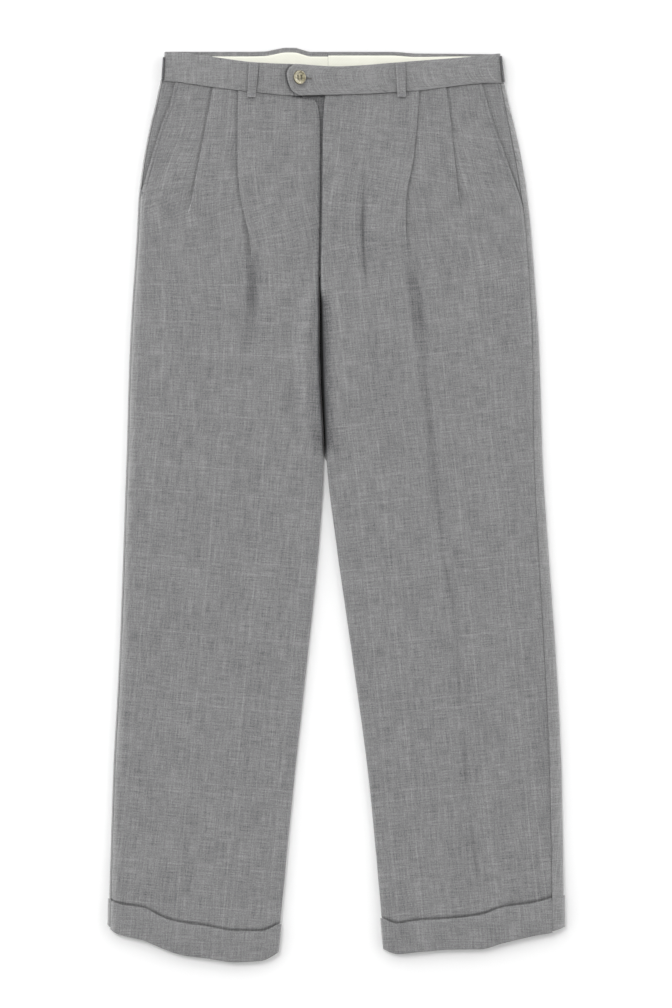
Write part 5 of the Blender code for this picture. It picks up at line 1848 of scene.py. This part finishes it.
class TROUSERS_OT_waistband(TrouserOperator, bpy.types.Operator):
    """Make the two halves of the waistband and their lining"""

    bl_idname = "trousers.waistband"
    bl_label = "Waistband and Lining"

    def execute(self, context):
        for side in ("left", "right"):
            band = f"band_{side}"
            points = band_points(side)
            # The band is cut from the copy of the suiting that is painted lighter, a painted highlight.
            look = {"wall": BAND_WALL, "cloth": "grey suiting cut across", "shade": band_shade(side, points)}
            lay_cloth(band, f"waistband_{side}", f"back_panel_{side}", points, BAND_SHIFT, **look)
            node = f"waistband_lining_{side}"
            look = {"cloth": "cotton sateen lining", "slot": "lining"}
            lay_cloth(f"band_lining_{side}", node, band, lining_points(side), (0.0, 0.0), **look)
        return {"FINISHED"}


class TROUSERS_OT_belt_loops(TrouserOperator, bpy.types.Operator):
    """Make the five belt loops"""

    bl_idname = "trousers.belt_loops"
    bl_label = "Belt Loops"

    def execute(self, context):
        loops = {"loop_back": (back_loop_points(), "studio_floor", 0.0)}
        for side in ("left", "right"):
            loops[f"loop_front_{side}"] = (front_loop_points(side), f"band_{side}", 0.0)
            # The side loops take SIDE_LOOP_SHADE, a painted shadow of the band, as their tone.
            loops[f"loop_side_{side}"] = (side_loop_points(side), "studio_floor", SIDE_LOOP_SHADE)
        for number, (name, (points, under, tone)) in enumerate(loops.items()):
            shift = [step * number for step in LOOP_SHIFTS]
            shade = np.full(points.shape[:2], tone)
            lay_cloth(name, "belt_" + name, under, points, shift, LOOP_WALL, shade=shade)
        return {"FINISHED"}


class TROUSERS_OT_pockets(TrouserOperator, bpy.types.Operator):
    """Make the cloth inside the two slanted side pockets and the strip behind the fly"""

    bl_idname = "trousers.pockets"
    bl_label = "Pocket Facings and Fly Shield"

    def execute(self, context):
        for leg in (LEFT, RIGHT):
            name = f"facing_{leg.side}"
            lay_cloth(name, "pocket_" + name, f"back_panel_{leg.side}", facing_points(leg), POCKET_SHIFT)
        # The fly strip is cut from the copy of the suiting that is painted darker, a painted shade.
        inside = "grey suiting inside"
        lay_cloth("fly_strip", "fly_shield", "back_panel_right", shield_points(), POCKET_SHIFT, cloth=inside)
        return {"FINISHED"}


# The button's rings, in millimetres: how far inside its outline, and how far above its flat back for the
# first group and above its rim for the second.
BUTTON_BACK_RINGS = ((2.4, 0.0), (1.4, 0.25))
BUTTON_FRONT_RINGS = (
    (0.5, -1.8), (0.0, -1.1), (0.1, -0.75), (0.35, -0.4), (0.8, -0.1), (1.3, 0.0),
    (1.8, -0.08), (2.3, -0.3), (2.9, -0.7), (3.5, -0.9), (5.5, -0.95),
)
BUTTON_SIDES = 64
BUTTON_SMOOTHING = 35
BUTTON_RIM = 0.12
HOLE_SIDES = 20
# How far in from its outline the button is dark: partly dark resin, partly painted shade round it.
DARK_RIM = 1.05
TAB_TOP = 8.2
SHANK_RADIUS = 1.2
THREAD_THICKNESS = 0.9
THREAD_DEPTH = 0.7
ROD_SIDES = 12
ROD_ROUNDING = 0.6
THREAD_SMOOTHING = 40


def button_profile(settings):
    """Rings of the button as (radius, height), from the edge of its flat back round to its dish."""
    radius, half = settings.diameter / 2, settings.thickness / 2
    rings = [(radius - inside * MM, -half + up * MM) for inside, up in BUTTON_BACK_RINGS]
    return rings + [(radius - inside * MM, half + up * MM) for inside, up in BUTTON_FRONT_RINGS]


def turned_button(settings):
    """Turns the button ring by ring from its flat back, and drills its four holes."""
    profile = button_profile(settings)
    bpy.ops.object.select_all(action="DESELECT")
    bpy.ops.mesh.primitive_circle_add(
        vertices=BUTTON_SIDES, radius=profile[0][0], fill_type="TRIFAN", location=(0.0, 0.0, profile[0][1])
    )
    button = bpy.context.object
    button.name = "button"
    bpy.ops.object.transform_apply(location=True)
    bpy.ops.object.mode_set(mode="EDIT")
    for before, ring in zip(profile, profile[1:]):
        step = {"value": (0.0, 0.0, ring[1] - before[1])}
        bpy.ops.mesh.extrude_region_move(TRANSFORM_OT_translate=step)
        wider = ring[0] / before[0]
        bpy.ops.transform.resize(value=(wider, wider, 1.0), center_override=(0.0, 0.0, ring[1]))
    bpy.ops.mesh.select_all(action="SELECT")
    bpy.ops.mesh.normals_make_consistent(inside=False)
    bpy.ops.object.mode_set(mode="OBJECT")

    cutters = []
    for x in (-0.5, 0.5):
        for y in (-0.5, 0.5):
            bpy.ops.mesh.primitive_cylinder_add(
                vertices=HOLE_SIDES, radius=settings.hole / 2, depth=4 * settings.thickness,
                location=(x * settings.hole_spacing, y * settings.hole_spacing, 0.0),
            )
            cutters.append(bpy.context.object)
    select_only(*reversed(cutters))
    bpy.ops.object.join()
    cutter = bpy.context.object
    apply_modifier(button, "BOOLEAN", object=cutter, operation="DIFFERENCE", solver="EXACT")
    bpy.data.objects.remove(cutter)
    soften(button, BUTTON_RIM * MM, 2)
    button.data.materials.clear()
    for name in ("polished horn-coloured resin", "polished dark resin"):
        button.data.materials.append(material_named(name))
    # The outer ring and the side take the dark edge material, partly painted shade.
    for polygon in button.data.polygons:
        outside = math.hypot(polygon.center.x, polygon.center.y) > settings.diameter / 2 - DARK_RIM * MM
        polygon.material_index = int(outside)
    smooth_by_angle(button, BUTTON_SMOOTHING)
    return button


def button_place(settings):
    """Where the tilted button's middle is, just clear of the tab."""
    lift = settings.diameter / 2 * math.sin(settings.tilt) + settings.thickness / 2
    x, y, _ = world_place(*BUTTON_CENTRE, 0.0)
    place = (x, y, TAB_TOP * MM + SEAM_GAP * MM + lift)
    return Matrix.Translation(place) @ Matrix.Rotation(settings.tilt, 4, "Y")


def rod(start, end, radius):
    """A short round length of thread between two places."""
    axis = Vector(end) - Vector(start)
    bpy.ops.object.select_all(action="DESELECT")
    bpy.ops.mesh.primitive_cylinder_add(vertices=ROD_SIDES, radius=radius, depth=axis.length)
    made = bpy.context.object
    soften(made, radius * ROD_ROUNDING, 3)
    turn = axis.to_track_quat("Z", "Y").to_matrix().to_4x4()
    apply_place(made, Matrix.Translation((Vector(start) + Vector(end)) / 2) @ turn)
    return made


def join(pieces, name, material, degrees=THREAD_SMOOTHING):
    """Joins pieces into the first of them, in one material."""
    select_only(*pieces)
    if len(pieces) > 1:
        bpy.ops.object.join()
    joined = bpy.context.object
    joined.name = name
    joined.data.materials.clear()
    joined.data.materials.append(material_named(material))
    smooth_by_angle(joined, degrees)
    return joined


class TROUSERS_OT_button(TrouserOperator, bpy.types.Operator):
    """Turn, drill and tilt the waist button, and sew it on through its holes"""

    bl_idname = "trousers.button"
    bl_label = "Waist Button"

    def execute(self, context):
        settings = context.scene.trouser_button
        button = turned_button(settings)
        place = button_place(settings)
        half = settings.hole_spacing / 2
        top = settings.thickness / 2 - THREAD_DEPTH * MM
        pieces = []
        for x in (-half, half):
            for start, end in (
                ((x, -half, top), (x, half, top)),
                ((x, -half, top), (x, -half, -top)),
                ((x, half, top), (x, half, -top)),
            ):
                pieces.append(rod(place @ Vector(start), place @ Vector(end), THREAD_THICKNESS / 2 * MM))
        middle = place @ Vector((0.0, 0.0, -settings.thickness / 2))
        pieces.append(rod((middle.x, middle.y, TAB_TOP * MM), middle, SHANK_RADIUS * MM))
        apply_place(button, place)
        hand_over(button, "button", "waist_button")
        hand_over(join(pieces, "button_thread", "button thread"), "button")
        return {"FINISHED"}


# The buttonhole: the two ends of its slit, and the stitches that cover the slit's edges.
HOLE_SLIT = ((-37.0, 36.6), (-28.8, 37.8))
SLIT_BEADS = 6
SLIT_THICKNESS = 1.1
SLIT_SINK = 0.6
BEAD_ENDS = (0.12, 0.88)
PURL_PITCH = 0.9
PURL_START = 0.5
PURL_LENGTH = 1.7

CAST_HEIGHT = 60.0
SEWN_ON = ("front_panel", "back_panel", "facing", "band", "loop_front", "turn_up_front")
STITCH_SMOOTHING = 60
STITCH_SEGMENTS = 8
STITCH_RINGS = 6
STITCH_MIDDLE = 0.05
STITCH_SINK = 0.3


def stitch_template(thickness, length):
    """One stitch along X at the world's middle: a short length of thread with rounded ends."""
    radius = thickness / 2
    bpy.ops.object.select_all(action="DESELECT")
    bpy.ops.mesh.primitive_uv_sphere_add(
        segments=STITCH_SEGMENTS, ring_count=STITCH_RINGS, radius=radius,
        rotation=(0.0, math.pi / 2, 0.0),
    )
    stitch = bpy.context.object
    bpy.ops.object.transform_apply(location=True, rotation=True, scale=True)
    for vertex in stitch.data.vertices:
        if abs(vertex.co.x) > radius * STITCH_MIDDLE:
            vertex.co.x += math.copysign(length / 2 - radius, vertex.co.x)
    return stitch


def surface_at(x, drop):
    """The highest place of the finished cloth at x and drop."""
    start = Vector(world_place(x, drop, CAST_HEIGHT))
    pieces = [piece for piece in bpy.data.objects if piece.name.startswith(SEWN_ON)]
    casts = [piece.ray_cast(start, Vector((0.0, 0.0, -1.0))) for piece in pieces]
    heights = [point.z for hit, point, _, _ in casts if hit]
    if not heights:
        raise RuntimeError(f"no cloth to sew on at x {x:.1f}, drop {drop:.1f}")
    return Vector((start.x, start.y, max(heights)))


def sew(name, lines, thickness, material, sink=STITCH_SINK):
    """Sews stitches that lie on the cloth. Each line gives the x and drop of a stitch's two ends."""
    template = stitch_template(thickness, 1.0)
    stitches = []
    for line in lines:
        ends = [surface_at(x, drop) for x, drop in line]
        axis = ends[1] - ends[0]
        stitch = template.copy()
        stitch.data = template.data.copy()
        reach = axis.length / 2 - thickness / 2
        for vertex in stitch.data.vertices:
            inside = max(abs(vertex.co.x) - 0.5 + thickness / 2, 0.0)
            vertex.co.x = math.copysign(inside + reach, vertex.co.x)
        bpy.context.scene.collection.objects.link(stitch)
        lift = Vector((0.0, 0.0, thickness * (0.5 - sink)))
        turn = axis.to_track_quat("X", "Z").to_matrix().to_4x4()
        stitch.matrix_world = Matrix.Translation((ends[0] + ends[1]) / 2 + lift) @ turn
        stitches.append(stitch)
    bpy.data.objects.remove(template)
    sewn = join(stitches, name, material, STITCH_SMOOTHING)
    bpy.ops.object.transform_apply(location=True, rotation=True, scale=True)
    hand_over(sewn, "suiting")


def on_line(line, share):
    return tuple(mix(a, b, share) for a, b in zip(*line))


class TROUSERS_OT_buttonhole(TrouserOperator, bpy.types.Operator):
    """Work the buttonhole's edges with purl stitches round its dark slit"""

    bl_idname = "trousers.buttonhole"
    bl_label = "Buttonhole"

    def execute(self, context):
        beads = [
            [on_line(HOLE_SLIT, (number + end) / SLIT_BEADS) for end in BEAD_ENDS]
            for number in range(SLIT_BEADS)
        ]
        sew("buttonhole_slit", beads, SLIT_THICKNESS * MM, "button thread", SLIT_SINK)
        count = int(math.dist(*HOLE_SLIT) / PURL_PITCH)
        purls = []
        for side in (-1, 1):
            for number in range(count):
                x, drop = on_line(HOLE_SLIT, (number + 0.5) / count)
                purls.append([(x, drop + side * away) for away in (PURL_START, PURL_START + PURL_LENGTH)])
        sew("buttonhole_purl", purls, context.scene.trouser_stitches.thread, "seam thread")
        return {"FINISHED"}


# Bar tacks: the two ends of the first stitch, how far it is to the last one, how many there are, and
# their thread.
BAR_TACKS = (
    ("pocket_top_left", (173.4, 53.0), (178.0, 53.2), (0.2, 3.8), 2, "tack thread"),
    ("pocket_end_left", (228.4, 189.4), (225.2, 197.4), (0.7, 0.4), 2, "tack thread"),
    ("pocket_top_right", (-188.0, 47.0), (-196.4, 47.4), (0.2, 2.4), 3, "seam thread"),
    ("pocket_end_right", (-234.6, 168.0), (-231.4, 176.0), (-0.7, 0.4), 2, "seam thread"),
    ("fly_end", (-17.0, 261.6), (-12.0, 261.9), (0.1, 4.8), 2, "tack thread"),
    ("tab_end", (-28.8, 53.2), (-19.4, 54.2), (0.0, 0.7), 1, "tack thread"),
    ("loop_top_left", (73.0, 22.0), (81.6, 21.8), (0.0, 1.0), 2, "seam thread"),
    ("loop_low_left", (75.0, 56.8), (83.0, 56.4), (0.0, 1.0), 2, "seam thread"),
    ("loop_top_right", (-103.2, 21.4), (-94.4, 21.6), (0.0, 1.0), 2, "seam thread"),
    ("loop_low_right", (-105.4, 56.2), (-97.4, 56.6), (0.0, 1.0), 2, "seam thread"),
    ("turn_up_left", (244.4, 1036.6), (244.6, 1041.2), (0.1, 5.2), 2, "tack thread"),
    ("turn_up_right", (-246.0, 1040.0), (-246.1, 1044.6), (0.0, 5.2), 2, "seam thread"),
)
TACK_THICKNESS = 0.8
TACK_SINK = 0.6
POCKET_STITCH_DROPS = {"left": (56.0, 188.0), "right": (56.0, 168.0)}


class TROUSERS_OT_stitching(TrouserOperator, bpy.types.Operator):
    """Sew the pockets' edge stitching and the bar tacks"""

    bl_idname = "trousers.stitching"
    bl_label = "Stitching"

    def execute(self, context):
        threads = context.scene.trouser_stitches
        pitch, reach = threads.pitch / MM, threads.length / MM
        for leg in (LEFT, RIGHT):
            start, end = POCKET_STITCH_DROPS[leg.side]
            lines = []
            for number in range(int((end - start) / pitch)):
                drops = (start + number * pitch, start + number * pitch + reach)
                lines.append([(self.stitch_x(leg, drop), drop) for drop in drops])
            sew(f"pocket_stitching_{leg.side}", lines, threads.thread, "seam thread")
        for name, start, end, across, count, thread in BAR_TACKS:
            steps = [number / max(count - 1, 1) for number in range(count)]
            lines = [
                [(x + across[0] * step, drop + across[1] * step) for x, drop in (start, end)]
                for step in steps
            ]
            sew(f"tack_{name}", lines, TACK_THICKNESS * MM, thread, TACK_SINK)
        return {"FINISHED"}

    def stitch_x(self, leg, drop):
        place = leg.width(drop) - leg.edges.at("mouth", drop) - SEAM_GAP / 2 - TOPSTITCH_INSET
        return float(leg.x_at(place, drop))


class TROUSERS_PT_panel(bpy.types.Panel):
    """Lists the steps that dress the trousers"""

    bl_idname = "TROUSERS_PT_panel"
    bl_label = "Trousers"
    bl_space_type = "VIEW_3D"
    bl_region_type = "UI"
    bl_category = "Trousers"

    def draw(self, context):
        for name in SETTINGS:
            box = self.layout.box()
            group = getattr(context.scene, name)
            for field in group.bl_rna.properties.keys():
                if field not in ("rna_type", "name"):
                    box.prop(group, field)
        for step in STEPS:
            self.layout.operator(step.bl_idname)


STEPS = (
    TROUSERS_OT_stage,
    TROUSERS_OT_backs,
    TROUSERS_OT_fronts,
    TROUSERS_OT_turn_ups,
    TROUSERS_OT_waistband,
    TROUSERS_OT_belt_loops,
    TROUSERS_OT_pockets,
    TROUSERS_OT_button,
    TROUSERS_OT_buttonhole,
    TROUSERS_OT_stitching,
)
SETTINGS = {
    "trouser_cloth": ClothSettings,
    "trouser_button": ButtonSettings,
    "trouser_stitches": StitchSettings,
    "trouser_stage": StageSettings,
}
CLASSES = (*SETTINGS.values(), *STEPS, TROUSERS_PT_panel)


def register():
    for cls in CLASSES:
        bpy.utils.register_class(cls)
    for name, group in SETTINGS.items():
        setattr(bpy.types.Scene, name, bpy.props.PointerProperty(type=group))


def unregister():
    for name in SETTINGS:
        delattr(bpy.types.Scene, name)
    for cls in reversed(CLASSES):
        bpy.utils.unregister_class(cls)


def main():
    register()
    bpy.ops.trousers.stage()
    bpy.ops.trousers.backs()
    bpy.ops.trousers.fronts()
    bpy.ops.trousers.turn_ups()
    bpy.ops.trousers.waistband()
    bpy.ops.trousers.belt_loops()
    bpy.ops.trousers.pockets()
    bpy.ops.trousers.button()
    bpy.ops.trousers.buttonhole()
    bpy.ops.trousers.stitching()


if __name__ == "__main__":
    main()
